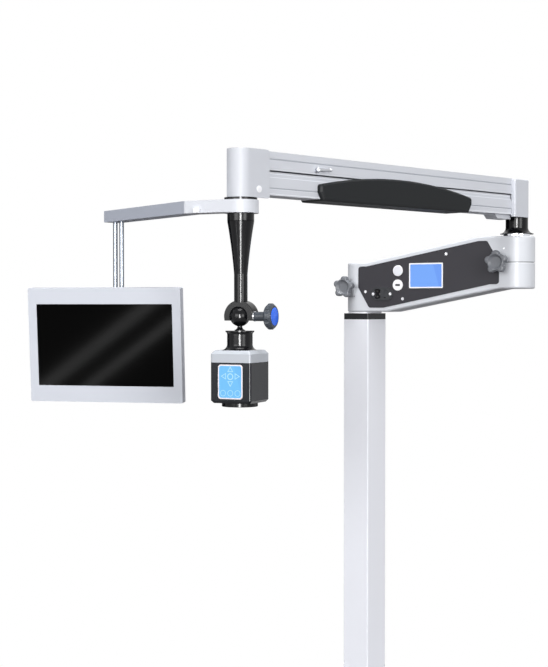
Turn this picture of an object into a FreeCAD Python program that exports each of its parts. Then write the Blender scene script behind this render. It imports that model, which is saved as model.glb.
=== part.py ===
import FreeCAD, Part
import math
import os

# Surgical microscope on a mobile stand, in millimetres.
# The origin is on the floor below the middle of the column. Z is up, X and Y follow the square base.
# At rest the control arm points 7.5 degrees left of +X, and its fascia faces -Y.

V = FreeCAD.Vector

# Fits
RUNNING_FIT = 0.05        # radial play of a shaft that turns in its hole
FIXED_FIT = 0.02          # radial play of a pin or insert that is held in its hole
SEAT_GAP = 0.3            # between two faces that turn past each other

# Mobile base
BASE_SIDE = 640.0
BASE_CORNER = 90.0
BASE_PLATE = 34.0         # thickness of the iron plate
BASE_POCKET = 8.0         # depth of the lightening pockets under it
BASE_RIB = 60.0           # width of the cross ribs between the pockets
BASE_RIM = 24.0           # width of the solid rim outside the pockets
POCKET_CORNER = 20.0
CASTOR_PAD = 12.0         # solid ring left round each castor's head
COVER_WALL = 4.0
COVER_LIFT = 4.0          # the skirt's lower edge above the plate's
COVER_LEDGE = 35.0        # width of the plate's edge that carries the cover
COVER_COLLAR_CORNER = 30.0
COVER_PLAY = 1.0          # between the cover's skirt and the plate's edge
COVER_SKIRT = 38.0        # height of the straight skirt
COVER_RISE = 34.0         # from the top of the skirt to the collar
COVER_COLLAR = 190.0      # side of the flat top round the column

# Castors
CASTOR_INSET = 85.0       # from the base's sides to the castors' stems
WHEEL_DIAMETER = 80.0
WHEEL_WIDTH = 28.0
HUB_WIDTH = 32.0
AXLE_DIAMETER = 10.0
CASTOR_TRAIL = 28.0
FORK_WALL = 4.0
FORK_HEAD_RADIUS = 28.0
FORK_HEAD = 9.0
WHEEL_TO_FORK = 12.0      # from the top of the tread to the underside of the fork's head
CHEEK_AHEAD = 20.0        # how far the fork's cheeks start ahead of the stem
CHEEK_LAP = 3.0           # how far they run up beside the fork's head
CHEEK_EYE = 12.0          # half their width about the axle
AXLE_HEAD = 3.0           # how far the riveted axle stands out
TREAD = 10.0              # thickness of the tyre
TREAD_ROUND = 4.0
WHEEL_DISH = 6.0          # depth of the web's dish
DISH_SLANT = 2.0
HUB_WALL = 6.0
STEM_DIAMETER = 16.0
STEM_LENGTH = 22.0
CASTOR_HEADINGS = (200.0, 340.0, 20.0, 160.0)
PEDAL_LENGTH = 42.0
PEDAL_NECK = 14.0
PEDAL_WIDTH = 46.0
PEDAL_ANGLE = 52.0        # of the pedal's pin above the axle, behind the wheel
PEDAL_EYE = 6.0           # wall of the fork's cheek round the pedal's pin
PEDAL_THICKNESS = 5.0
PEDAL_PIN_DIAMETER = 6.0
PEDAL_PIN_GAP = 4.0       # between the tread and the pedal's pin

# Column
COLUMN_SIDE = 80.0
COLUMN_WALL = 5.0
COLUMN_CORNER = 2.5
COLUMN_TOP = 1434.0
FOOT_SIDE = 160.0
FOOT_THICKNESS = 14.0
FOOT_CORNER = 12.0
FOOT_BOLT_SPACING = 126.0
FOOT_BOLT_DIAMETER = 12.0
FOOT_BOLT_HEAD_DIAMETER = 18.0
FOOT_BOLT_HEAD = 8.0
FOOT_BOLT_SOCKET_DIAMETER = 8.0
FOOT_BOLT_DEPTH = 18.0
CAP_HEIGHT = 16.0
CAP_PLUG = 30.0
CAP_RING = 3.5
CAP_RING_RADIUS = 44.0
SPINDLE_DIAMETER = 30.0
SPINDLE_CHAMFER = 2.0
SPINDLE_GRIP = 40.0       # length held in the cap
SPINDLE_REACH = 100.0     # length inside the arm's end

# Control arm
CONTROL_ARM_YAW = 7.5
ARM_REACH = 430.0         # column axis to spring arm axis
ARM_RISE = 58.2           # from the column end to the spring arm end
ARM_END_RADIUS = 45.0
ARM_END_HEIGHT = 130.0
ARM_EDGE_ROUND = 5.0
ARM_BEND_ROUND = 30.0
ARM_END_ROUND = 12.0      # of the lower bend beside the spring arm's end
ARM_WALL = 8.0
POCKET_FROM_ENDS = (4.0, 26.0)
ARM_POCKET_DEPTH = 62.0
ARM_TOP_BEND = 29.0       # from the column axis
ARM_LOW_BENDS = (86.0, 27.0)  # from the column axis and before the spring arm axis
BUSH_WALL = 4.0
BUSH_LENGTH = 26.0
END_BORE_DEPTH = 112.0
SLIT_WIDTH = 2.2
SLIT_DEPTH = 2.5

# Fascia and what it carries; places are from the column axis and from the arm's lower face
FASCIA_THICKNESS = 3.0
FASCIA_RECESS = 2.2
FASCIA_LEFT = 5.5
FASCIA_RIGHT = 27.5       # before the spring arm axis
FASCIA_MARGIN = 11.0      # to the arm's upper and lower edges
FASCIA_CUT = (32.0, 53.0)
FASCIA_ROUND = 8.0
FASCIA_BEND_ROUND = 20.0
FASCIA_BEND_SHIFT = (-6.0, 2.0)
FASCIA_SHOULDER = 24.0    # length of the level stretches beside the cut corners
LEFT_SCREWS = ((27.0, 53.0), (136.0, 34.0))
RIGHT_SCREWS = ((171.0, 147.0), (49.0, 136.0))  # before the spring arm axis
FASCIA_SCREW_DIAMETER = 4.0
FASCIA_SCREW_HEAD = 8.0
FASCIA_SCREW_SOCKET = 1.3
FASCIA_SCREW_LENGTH = 12.0
SCREW_HOLE_DEPTH = 14.0
INLET_SCREW_LENGTH = 10.0
END_SCREWS = ((-8.0, 40.0), (15.0, 157.0))      # the second before the spring arm axis
DISPLAY_PLACE = (202.8, 93.0)
DISPLAY_SIZE = (95.3, 64.2)
DISPLAY_BORDER = 1.9
DISPLAY_LIP = 1.3         # wall of the frame's throat round the glass
DISPLAY_DEPTH = 8.0
DISPLAY_PROUD = 0.8
BUTTON_PLACE = (122.7, 106.5)
BUTTON_DIAMETER = 28.0
BUTTON_CHAMFER = 0.8
BUTTON_STEM_RADIUS = 3.0
INSERT_DIAMETER = 25.0    # of the data socket's body
INSERT_FLANGE_DIAMETER = 28.5
BUTTON_PROUD = 2.0
BUTTON_TRAVEL = 1.5
USB_PLACE = (122.7, 69.6)
USB_SLOT = (13.0, 5.4)
USB_TONGUE = (11.0, 1.9)
USB_TONGUE_RISE = 0.9
USB_FLOOR = 2.0
INLET_PLACE = (75.7, 46.8)
INLET_FLANGE = (65.0, 33.0)
INLET_POINT = 11.0        # length of the flange's pointed ends
INLET_TIP = 5.8           # half the height of those ends
INLET_STEP = (1.0, 2.0)   # from the flange's edge to the body behind it
INLET_SCREW_SPACING = 50.0
INLET_SOCKET = (17.0, 25.0)
INLET_SOCKET_OFFSET = -12.5
INLET_SOCKET_DEPTH = 20.0
INLET_DEPTH = 28.0
INLET_PROUD = 1.6
PIN_BLADE = (2.0, 4.0)
PIN_BLADE_LENGTH = 13.0
PIN_BLADE_PITCH = 7.0
SWITCH_OFFSET = 13.0
SWITCH_WELL = 14.0
SWITCH_SET_BACK = 6.0     # from the flange's front to the rocker's pivot
SWITCH_TRUNNION = 2.0
SWITCH_SIZE = (11.0, 20.0)
SWITCH_TILT = 7.0
BOARD_SIZE = (164.0, 56.0)
BOARD_SHIFT = 22.0        # from the display's middle to the board's
BOARD_SWITCH = (8.0, 2.0)
BOARD_POSTS = (-40.0, 60.0)
BOARD_POST_RADIUS = 4.0
BOARD_THICKNESS = 1.6

# Star knobs that brake the two vertical spindles
STAR_LOBES = 5
STAR_RADIUS = 29.0
STAR_LOBE_RADIUS = 9.0
STAR_THICKNESS = 18.0
STAR_ROUND = 3.5
STAR_TURNS = (-7.0, 3.0)   # how far each knob stands turned at rest
STAR_DISH_RADII = (19.0, 13.0)
STAR_DISH_DEPTH = 6.0
STAR_NECK_RADIUS = 11.0
STAR_NECK_FLARE = 4.0
STAR_SPOT_DEPTH = 9.0     # of the flat that the collar turns on
STAR_SPOT_PLAY = 2.0
STAR_NECK = 14.0
STAR_SCREW_DIAMETER = 10.0
STAR_OFFSET = -25.0       # from the spindle's axis, past its bush
STAR_SCREW_REACH = 50.0

# Spring arm: its own X runs from the control arm's axis to the drop axis
SPRING_ARM_YAW = -103.15
SPRING_REACH = 927.4
DISC_RADIUS = 33.0
DISC_HEIGHT = 4.7
POST_RADIUS = 27.6
POST_FLARE_RADIUS = 41.0
POST_FLARE = 18.0
POST_RIM = 1.5
POST_KNEE = (0.3, 0.36)   # where the flare's curve passes, as shares of its width and height
POST_HEIGHT = 40.0
LOWER_PIN_ABOVE_POST = 15.0
PIN_PITCH = 60.0          # between the lower and the upper pins
PIN_SETBACK = 24.0        # from each vertical axis
PIN_DIAMETER = 12.0
OPEN_PIVOT_PLAY = 0.2     # radial play at the lower beam's front pin
REAR_KNUCKLE_WIDTH = 72.0
REAR_KNUCKLE_LENGTH = 57.0
REAR_KNUCKLE_HEIGHT = 92.0
KNUCKLE_CORE_RADIUS = 28.0
KNUCKLE_WEB = 3.5         # where the fork's slot ends, past the vertical axis
KNUCKLE_BACK = 0.5        # how far the rear knuckle's cheeks reach behind it
KNUCKLE_ROUND = 2.5
FRONT_KNUCKLE_LENGTH = 53.0
FRONT_KNUCKLE_HEIGHT = 97.0
FRONT_KNUCKLE_DROP = 2.0  # its underside is this much below the rear one's
KNUCKLE_CORNER = 4.0
FRONT_CORNERS = (3.0, 7.0)  # of the front knuckle's cheeks, below and above
PIN_COVERS = (4.0, 1.2)   # wall of the visible cheek over the rear pins and over the upper front pin
PLUG_RADII = (7.0, 4.5)
PLUG_STEPS = (0.5, 1.2)
BEAM_WIDTH = 48.0
BEAM_SIDE_PLAY = 0.4
UPPER_BEAM_TOP = 18.0     # above the upper pins
UPPER_BEAM_LOW = 19.5     # below them
UPPER_BEAM_WALL = 3.0
UPPER_GROOVE = 2.4        # height of the fine groove above the upper pins
LOWER_BEAM_LOW = 10.0     # below the lower pins
LOWER_BEAM_TOP = 37.7     # above them
LOWER_STEP = 26.5         # where the lower beam narrows to slide into the upper one
LOWER_LIP_PLAY = 0.5
LOWER_LIP_WALL = 2.5
LOWER_FLOOR = 4.0
LOWER_LUG_LENGTH = 30.0
LOWER_LUG_WALL = 6.0      # end wall of the trough
LOWER_GROOVE = 4.0
GROOVE_WIDTH = 1.8
GROOVE_DEPTH = 1.4
GROOVE_FROM_PIN = 15.0
PIN_BOSS_RADIUS = 9.0
ADJUSTER_SPAN = (50.0, 114.0)
ADJUSTER_WIDTH = 34.0
ADJUSTER_DROP = 11.0
ADJUSTER_SLANT = 12.0     # of its front end
SPRING_DIAMETER = 30.0
SPRING_WIRE = 4.0
SPRING_LENGTH = 470.0
SPRING_ROD_DIAMETER = 8.0
SPRING_PLATE = 10.0
SPRING_FLOOR_GAP = 2.0
GRIP_SPAN = (225.0, 733.0)
GRIP_TOP = 45.5           # highest point of its curve above the lower pins
GRIP_TIPS = 20.0          # height of its upper corners
GRIP_KNEES = 4.0          # height where its ends start to slant inwards
GRIP_SLANT = 10.5
GRIP_CORNER = 6.0
GRIP_SIDE = 12.0
GRIP_UNDER = 4.0
GRIP_BEVEL = 4.0
LEVER_PLACE = 737.0
LEVER_BELOW_PIN = 10.5
LEVER_LENGTH = 37.0
LEVER_RADIUS = 3.0
LEVER_BALL_RADIUS = 5.8
LEVER_STANDOFF = 7.0
LEVER_RISE = 2.5
LEVER_TIP_RADIUS = 3.9

# Monitor arm: its own X runs along its first stretch
MONITOR_ARM_YAW = -70.9
HUB_RADIUS = 36.0
HUB_THICKNESS = 26.0
RING_RADIUS = 33.0
RING_HEIGHT = 4.7
DROP_SPINDLE_DIAMETER = 24.0
DROP_NUT_RADIUS = 18.0
DROP_NUT = 12.0
DROP_THREAD_END = 4.0     # of the spindle below its nut
DROP_SPINDLE_GRIP = 20.0  # length held in the front knuckle
MONITOR_ARM_WIDTH = 42.0
MONITOR_ARM_THICKNESS = 25.0
FIRST_STRETCH = 109.3
SECOND_STRETCH = 347.6
ARM_BEND = 28.1
MONITOR_ARM_ROUND = 12.0
MONITOR_ARM_END_ROUND = 1.5
ROD_DIAMETER = 10.4
ROD_PITCH = 29.0
ROD_FROM_END = 15.0
ROD_SOCKET = 15.0
CLIP_SIZE = (12.0, 6.0, 9.0)
CLIP_FROM_BEND = 24.0

# Monitor
MONITOR_YAW = -166.3
MONITOR_DROP = 266.5      # from the arm's underside to the tilt pin
MONITOR_TILT = 4.2
MONITOR_DEPTH = 18.0
MONITOR_WALL = 3.0
MONITOR_CORNER = 3.0
SCREEN_SIZE = (308.5, 177.3)
BEZEL_BORDER = (19.0, 35.1)  # beside the screen, and above and below it
PANEL_THICKNESS = 8.0
PANEL_OVERLAP = 8.0
SCREEN_RECESS = 1.2       # of the pane behind the frame's front
PAD_MARGIN = (30.0, 25.0)  # of the back's inner pad inside the screen's outline
PAD_CORNER = 10.0
VENT_COUNT = 6
VENT_PITCH = 9.0
VENT_HEIGHT = 3.0
VENT_DEPTH = 1.5
VENT_SPAN = (80.0, 140.0)
VENT_FROM_TOP = 40.0
BACK_THICKNESS = 3.0
BACK_BOX = (130.0, 130.0, 20.0)  # the raised middle of the back
BACK_BOX_CORNER = 10.0
TILT_TO_ROD = 38.0        # from the swivel axis to the tilt pin
TILT_TO_BACK = 11.0       # from the tilt pin to the raised middle
TILT_PIN_DIAMETER = 9.0
TILT_BARREL_RADIUS = 7.0
TILT_BARREL_LENGTH = 30.0
EAR_THICKNESS = 8.0
EAR_RADIUS = 10.0
FOOT_PLATE = 10.0
FOOT_PLATE_WIDTH = 24.0
FOOT_PLATE_END = 6.0      # past each rod
FOOT_PIVOT_DIAMETER = 13.0
YOKE_RADIUS = 13.5
YOKE_HEIGHT = 22.0
YOKE_NECK = (18.0, 14.0)

# Drop arm with its ball clamp; the head's X is to the user's right
HEAD_YAW = 112.25
DROP_TOP_RADIUS = 27.0
DROP_COLLAR = 15.7
DROP_TAPER = 105.0
DROP_LOW_RADIUS = 13.5
DROP_BELLY = 1.2          # how far the taper's curve lies inside a straight one
DROP_SEAM = (0.8, 0.7)    # height and depth of the groove below the collar
DROP_CHAMBER_PLAY = 1.5   # round the nut
DROP_CHAMBER = 30.0       # length of the chamber below the collar
DROP_SEAT = 4.0           # how deep the tube stands in the clamp
BALL_BELOW_ARM = 205.6    # from the underside of the monitor arm's hub to the ball's centre
BALL_AHEAD = 4.5          # of the drop axis, towards the user
BALL_RADIUS = 20.0
BALL_FIT = 0.1
CLAMP_RADIUS = 32.0
CLAMP_SPAN = (-12.0, 18.0)  # its front and rear faces, from the drop axis
CLAMP_LIP = 1.2           # chamfer round the ball's opening
CLAMP_FLAT = 8.5          # below the ball's centre
CLAMP_ROUND = 1.5
CLAMP_SCREW_DIAMETER = 18.8
CLAMP_THREAD_DIAMETER = 10.0
CLAMP_SCREW_LENGTH = 28.0
CLAMP_KNOB_LOBES = 8
CLAMP_KNOB_RADIUS = 26.0
CLAMP_KNOB_LENGTH = 15.0
CLAMP_KNOB_CHAMFER = 4.5
CLAMP_HOLLOW_RADIUS = 7.0
CLAMP_HOLLOW_DEPTH = 2.6
KNOB_DISC_RADIUS = 18.0
KNOB_DISC = 2.0
KNOB_DISC_PROUD = 0.6
STEM_NECK_RADIUS = 4.9
STEM_NECK_FLARE = 0.6
STEM_FLANGE_RADIUS = 10.7
STEM_FLANGE_BELOW = 26.8
STEM_PIN_RADIUS = 8.0
STEM_PIN_LENGTH = 24.0
HEAD_BELOW_BALL = 28.4

# Optical head
SPOOL_HEIGHT = 38.6
SPOOL_TOP_RADIUS = 28.7
SPOOL_WAIST_RADIUS = 25.5
SPOOL_LIP = 2.5
SPOOL_SHOULDER = (0.25, 6.0, 2.0)  # curve below the lip: its bulge as a share, its height, the bulge's drop
SPOOL_FLARE = 11.5        # radius of the round foot
HEAD_SIDE = 88.0
HEAD_CORNER = 4.0
HEAD_COVER_HEIGHT = 23.9
HEAD_COVER_CHAMFER = 7.0
HEAD_BODY_HEIGHT = 80.5
HEAD_BODY_CHAMFER = 5.0
BEVEL_SLOPE = 0.8         # sideways run of both bevels per millimetre of height
TOUCH_SIZE = (53.2, 68.0)
TOUCH_FROM_TOP = 3.7
TOUCH_THICKNESS = 3.0
TOUCH_PROUD = 0.8
TOUCH_ROUND = 6.0
OBJECTIVE_RADIUS = 36.0
OBJECTIVE_BORE = 29.0
OBJECTIVE_HEIGHT = 8.0
OBJECTIVE_SPIGOT = 6.0
OBJECTIVE_LEDGE = 3.0     # width of the ledge above the lens
OBJECTIVE_CHAMFER = 0.6
LENS_THICKNESS = 5.0
LENS_RECESS = 2.0
LENS_DOME = 1.6

# Heights that follow from the sizes above
CASTOR_HEAD_LOW = WHEEL_DIAMETER + WHEEL_TO_FORK
BASE_LOW = CASTOR_HEAD_LOW + FORK_HEAD + SEAT_GAP
BASE_TOP = BASE_LOW + BASE_PLATE
FOOT_TOP = BASE_TOP + FOOT_THICKNESS
CAP_TOP = COLUMN_TOP + CAP_HEIGHT
ARM_LOW = CAP_TOP + CAP_RING + SEAT_GAP
ARM_TOP = ARM_LOW + ARM_RISE + ARM_END_HEIGHT
DISC_LOW = ARM_TOP + SEAT_GAP
POST_LOW = DISC_LOW + DISC_HEIGHT
POST_TOP = POST_LOW + POST_HEIGHT
LOWER_PIN = POST_TOP + LOWER_PIN_ABOVE_POST
UPPER_PIN = LOWER_PIN + PIN_PITCH
FRONT_PIN = SPRING_REACH - PIN_SETBACK
FRONT_KNUCKLE_LOW = POST_TOP - FRONT_KNUCKLE_DROP
RING_LOW = FRONT_KNUCKLE_LOW - RING_HEIGHT
HUB_TOP = RING_LOW - SEAT_GAP
HUB_LOW = HUB_TOP - HUB_THICKNESS
MONITOR_AXIS_HEIGHT = HUB_TOP - MONITOR_ARM_THICKNESS - MONITOR_DROP
DROP_TOP = HUB_LOW - SEAT_GAP
BALL_HEIGHT = HUB_LOW - BALL_BELOW_ARM
SPOOL_TOP = BALL_HEIGHT - HEAD_BELOW_BALL
COVER_TOP = SPOOL_TOP - SPOOL_HEIGHT
BODY_TOP = COVER_TOP - HEAD_COVER_HEIGHT
BODY_LOW = BODY_TOP - HEAD_BODY_HEIGHT
SPINDLE_RADIUS = SPINDLE_DIAMETER / 2
BUSH_RADIUS = SPINDLE_RADIUS + RUNNING_FIT + BUSH_WALL
ARM_FRONT = -ARM_END_RADIUS
STAR_HEIGHT = ARM_END_HEIGHT / 2


def frame_at(x, y, z, yaw):
    """A frame at a point, turned about the vertical."""
    return FreeCAD.Placement(V(x, y, z), FreeCAD.Rotation(V(0, 0, 1), yaw))


# The frame of each swivelling assembly, at rest
STAND_FRAME = FreeCAD.Placement()
CONTROL_FRAME = frame_at(0, 0, 0, CONTROL_ARM_YAW)
SPRING_FRAME = CONTROL_FRAME * frame_at(ARM_REACH, 0, 0, SPRING_ARM_YAW)
DROP_FRAME = SPRING_FRAME * frame_at(SPRING_REACH, 0, 0, 0)
MONITOR_ARM_FRAME = DROP_FRAME * frame_at(0, 0, 0, MONITOR_ARM_YAW)
CLAMP_FRAME = DROP_FRAME * frame_at(0, 0, 0, HEAD_YAW)
HEAD_FRAME = CLAMP_FRAME * frame_at(0, -BALL_AHEAD, 0, 0)


def box(x0, x1, y0, y1, z0, z1):
    """A block between two opposite corners."""
    return Part.makeBox(x1 - x0, y1 - y0, z1 - z0, V(x0, y0, z0))


def rod(radius, start, end):
    """A round bar from one point to another."""
    axis = V(*end) - V(*start)
    return Part.makeCylinder(radius, axis.Length, V(*start), axis)


def upright(radius, z0, z1, x=0.0, y=0.0):
    """A vertical round bar."""
    return rod(radius, (x, y, z0), (x, y, z1))


def across(radius, y0, y1, x, z):
    """A round bar along Y."""
    return rod(radius, (x, y0, z), (x, y1, z))


def joined(first, *others):
    """One solid from several that meet."""
    return first.fuse(list(others)).removeSplitter()


def rounded_face(corners, to_space):
    """A flat face with a polygon's outline, each corner (a, b, radius) rounded by its radius."""
    turns = []
    count = len(corners)
    for i in range(count):
        a, b, radius = corners[i]
        back = V(corners[i - 1][0] - a, corners[i - 1][1] - b, 0).normalize()
        ahead = V(corners[(i + 1) % count][0] - a, corners[(i + 1) % count][1] - b, 0).normalize()
        half = back.getAngle(ahead) / 2
        here = V(a, b, 0)
        if radius == 0:
            turns.append((here, None, here))
            continue
        inward = (back + ahead).normalize()
        setback = radius / math.tan(half)
        centre = here + inward * (radius / math.sin(half))
        turns.append((here + back * setback, centre - inward * radius, here + ahead * setback))
    edges = []
    for i in range(count):
        start, middle, end = turns[i]
        if middle is not None:
            edges.append(Part.Arc(to_space(start), to_space(middle), to_space(end)).toShape())
        following = turns[(i + 1) % count][0]
        if (following - end).Length > 1e-6:
            edges.append(Part.LineSegment(to_space(end), to_space(following)).toShape())
    return Part.Face(Part.Wire(edges))


def plan_plate(corners, z0, z1):
    """A plate with a rounded outline in X and Y."""
    return rounded_face(corners, lambda p: V(p.x, p.y, z0)).extrude(V(0, 0, z1 - z0))


def side_plate(corners, y0, y1):
    """A plate with a rounded outline in X and Z."""
    return rounded_face(corners, lambda p: V(p.x, y0, p.y)).extrude(V(0, y1 - y0, 0))


def rectangle(length, width, corner, a=0.0, b=0.0):
    """The corners of a rounded rectangle about a point."""
    x, y = length / 2, width / 2
    return [(a - x, b - y, corner), (a + x, b - y, corner), (a + x, b + y, corner), (a - x, b + y, corner)]


def turned(edges):
    """A body of revolution about Z from the edges of its half profile in X and Z."""
    return Part.Face(Part.Wire(edges)).revolve(V(0, 0, 0), V(0, 0, 1), 360)


def line(start, end):
    """A straight edge of a half profile."""
    return Part.LineSegment(V(start[0], 0, start[1]), V(end[0], 0, end[1])).toShape()


def arc(start, middle, end):
    """A round edge of a half profile."""
    points = [V(r, 0, z) for r, z in (start, middle, end)]
    return Part.Arc(*points).toShape()


def turned_polygon(profile):
    """A body of revolution from the points of its half profile."""
    return turned([line(profile[i - 1], profile[i]) for i in range(len(profile))])


def tapered_square(side_low, side_high, corner_low, corner_high, z0, z1):
    """A pyramid stump with rounded corners."""
    wires = []
    for side, corner, z in ((side_low, corner_low, z0), (side_high, corner_high, z1)):
        wires.append(rounded_face(rectangle(side, side, corner), lambda p, z=z: V(p.x, p.y, z)).OuterWire)
    return Part.makeLoft(wires, True, True)


pieces = {}


def keep(name, shape, frame=STAND_FRAME):
    """Files a sub-part under its name, moved from its assembly's frame to its place at rest."""
    placed = shape.copy()
    placed.Placement = frame * placed.Placement
    pieces[name] = placed


# Mobile base


def castor_places():
    """The four castor centres, counter-clockwise from the front left."""
    half = BASE_SIDE / 2 - CASTOR_INSET
    return [(-half, -half), (half, -half), (half, half), (-half, half)]


def base_casting():
    """Heavy iron plate with pockets between cross ribs, castor sockets and tapped holes for the column."""
    plate = plan_plate(rectangle(BASE_SIDE, BASE_SIDE, BASE_CORNER), BASE_LOW, BASE_TOP)
    castor_pad = FORK_HEAD_RADIUS + CASTOR_PAD
    near, far = BASE_RIB / 2, BASE_SIDE / 2 - BASE_RIM
    middle = (near + far) / 2
    stem = BASE_SIDE / 2 - CASTOR_INSET
    for sx in (-1, 1):
        for sy in (-1, 1):
            pocket = plan_plate(rectangle(far - near, far - near, POCKET_CORNER, middle, middle),
                                BASE_LOW - 1, BASE_LOW + BASE_POCKET)
            pad = upright(castor_pad, BASE_LOW - 1, BASE_LOW + BASE_POCKET, stem, stem)
            pocket = pocket.cut(pad)
            turn = {(1, 1): 0, (-1, 1): 90, (-1, -1): 180, (1, -1): 270}[(sx, sy)]
            pocket.rotate(V(0, 0, 0), V(0, 0, 1), turn)
            plate = plate.cut(pocket)
    socket = STEM_DIAMETER / 2 + RUNNING_FIT
    for x, y in castor_places():
        plate = plate.cut(upright(socket, BASE_LOW - 1, BASE_LOW + STEM_LENGTH + 1, x, y))
    half = FOOT_BOLT_SPACING / 2
    for x in (-half, half):
        for y in (-half, half):
            hole = upright(FOOT_BOLT_DIAMETER / 2 + FIXED_FIT, BASE_TOP - FOOT_BOLT_DEPTH, BASE_TOP + 1, x, y)
            plate = plate.cut(hole)
    return plate


def base_cover():
    """Moulded cover: a skirt round the plate and a top that slopes up to the column."""
    inside = BASE_SIDE + 2 * COVER_PLAY
    outside = inside + 2 * COVER_WALL
    corner = BASE_CORNER + COVER_PLAY + COVER_WALL
    skirt_low = BASE_LOW + COVER_LIFT
    skirt_top = skirt_low + COVER_SKIRT
    collar_top = skirt_top + COVER_RISE
    skin = plan_plate(rectangle(outside, outside, corner), skirt_low, skirt_top)
    skin = joined(skin, tapered_square(outside, COVER_COLLAR, corner, COVER_COLLAR_CORNER, skirt_top, collar_top))
    hollow = plan_plate(rectangle(inside, inside, corner - COVER_WALL), skirt_low - 1, BASE_TOP)
    ledge = BASE_SIDE - 2 * COVER_LEDGE
    ledge_corner = BASE_CORNER - COVER_LEDGE
    inner = plan_plate(rectangle(ledge, ledge, ledge_corner), BASE_TOP - 1, skirt_top)
    slope = tapered_square(ledge, COVER_COLLAR - 2 * COVER_WALL, ledge_corner, COVER_COLLAR_CORNER - COVER_WALL,
                           skirt_top, collar_top - COVER_WALL)
    opening = COLUMN_SIDE + 2 * SEAT_GAP
    mouth = plan_plate(rectangle(opening, opening, COLUMN_CORNER), BASE_TOP, collar_top + 1)
    return skin.cut(hollow).cut(inner).cut(slope).cut(mouth)


def castor_fork():
    """Pressed fork with its swivel stem and riveted axle; the wheel trails along +X."""
    axle_height = WHEEL_DIAMETER / 2
    inner = HUB_WIDTH / 2 + SEAT_GAP
    outer = inner + FORK_WALL
    head = upright(FORK_HEAD_RADIUS, CASTOR_HEAD_LOW, CASTOR_HEAD_LOW + FORK_HEAD)
    stem = upright(STEM_DIAMETER / 2, CASTOR_HEAD_LOW, CASTOR_HEAD_LOW + FORK_HEAD + SEAT_GAP + STEM_LENGTH)
    shape = joined(head, stem)
    pin_x, pin_z = pedal_pin()
    eye = PEDAL_PIN_DIAMETER / 2 + PEDAL_EYE
    lap = CASTOR_HEAD_LOW + CHEEK_LAP
    foot = axle_height - CHEEK_EYE
    cheek = [(-CHEEK_AHEAD, lap, 2), (CASTOR_TRAIL - CHEEK_EYE, foot, 8), (CASTOR_TRAIL + CHEEK_EYE, foot, 8),
             (pin_x + eye, pin_z - 2, 4), (pin_x + eye, pin_z + eye, 3), (FORK_HEAD_RADIUS - eye, lap, 2)]
    for side in (-1, 1):
        y0, y1 = sorted((side * inner, side * outer))
        shape = joined(shape, side_plate(cheek, y0, y1))
    axle = across(AXLE_DIAMETER / 2, -outer - AXLE_HEAD, outer + AXLE_HEAD, CASTOR_TRAIL, axle_height)
    return joined(shape, axle)


def castor_wheel():
    """Wheel with a rounded tread, a dished web and a hub that runs on the axle."""
    radius, half, hub = WHEEL_DIAMETER / 2, WHEEL_WIDTH / 2, HUB_WIDTH / 2
    bore = AXLE_DIAMETER / 2 + RUNNING_FIT
    hub_radius, web_foot = bore + HUB_WALL, bore + HUB_WALL + DISH_SLANT
    rim, web_top, shoulder = radius - TREAD, radius - TREAD - DISH_SLANT, radius - TREAD_ROUND
    web = half - WHEEL_DISH
    profile = [
        line((bore, -hub), (hub_radius, -hub)),
        line((hub_radius, -hub), (web_foot, -web)),
        line((web_foot, -web), (web_top, -web)),
        line((web_top, -web), (rim, -half)),
        line((rim, -half), (shoulder, -half)),
        arc((shoulder, -half), (radius, 0), (shoulder, half)),
        line((shoulder, half), (rim, half)),
        line((rim, half), (web_top, web)),
        line((web_top, web), (web_foot, web)),
        line((web_foot, web), (hub_radius, hub)),
        line((hub_radius, hub), (bore, hub)),
        line((bore, hub), (bore, -hub)),
    ]
    wheel = turned(profile)
    wheel.rotate(V(0, 0, 0), V(1, 0, 0), 90)
    wheel.translate(V(CASTOR_TRAIL, 0, radius))
    return wheel


def pedal_pin():
    """The pedal's pivot, behind and above the wheel."""
    reach = WHEEL_DIAMETER / 2 + PEDAL_PIN_GAP + PEDAL_PIN_DIAMETER
    angle = math.radians(PEDAL_ANGLE)
    return CASTOR_TRAIL + reach * math.cos(angle), WHEEL_DIAMETER / 2 + reach * math.sin(angle)


def brake_pedal():
    """Foot pedal on a pin between the fork's cheeks."""
    x, z = pedal_pin()
    inner = HUB_WIDTH / 2 + SEAT_GAP
    hub = across(PEDAL_PIN_DIAMETER, -inner + SEAT_GAP, inner - SEAT_GAP, x, z)
    pin = across(PEDAL_PIN_DIAMETER / 2, -inner - FORK_WALL, inner + FORK_WALL, x, z)
    low, high = z - PEDAL_THICKNESS / 2, z + PEDAL_THICKNESS / 2
    neck = box(x, x + PEDAL_NECK + 1, -inner + 2, inner - 2, low, high)
    length = PEDAL_LENGTH - PEDAL_NECK
    tread = plan_plate(rectangle(length, PEDAL_WIDTH, 8, x + PEDAL_NECK + length / 2), low, high)
    return joined(hub, pin, neck, tread)


def build_base():
    """Casting, cover and four castors, two of them braked."""
    keep("base_casting", base_casting())
    keep("base_cover", base_cover())
    fork = castor_fork()
    x, z = pedal_pin()
    inner = HUB_WIDTH / 2 + SEAT_GAP
    bore = across(PEDAL_PIN_DIAMETER / 2 + RUNNING_FIT, -inner - 2 * FORK_WALL, inner + 2 * FORK_WALL, x, z)
    fork = fork.cut(bore)
    wheel = castor_wheel()
    for number, ((cx, cy), heading) in enumerate(zip(castor_places(), CASTOR_HEADINGS), 1):
        frame = frame_at(cx, cy, 0, heading)
        keep(f"castor_fork_{number}", fork, frame)
        keep(f"castor_wheel_{number}", wheel, frame)
        if number <= 2:
            keep(f"brake_pedal_{number}", brake_pedal(), frame)


# Column


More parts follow.
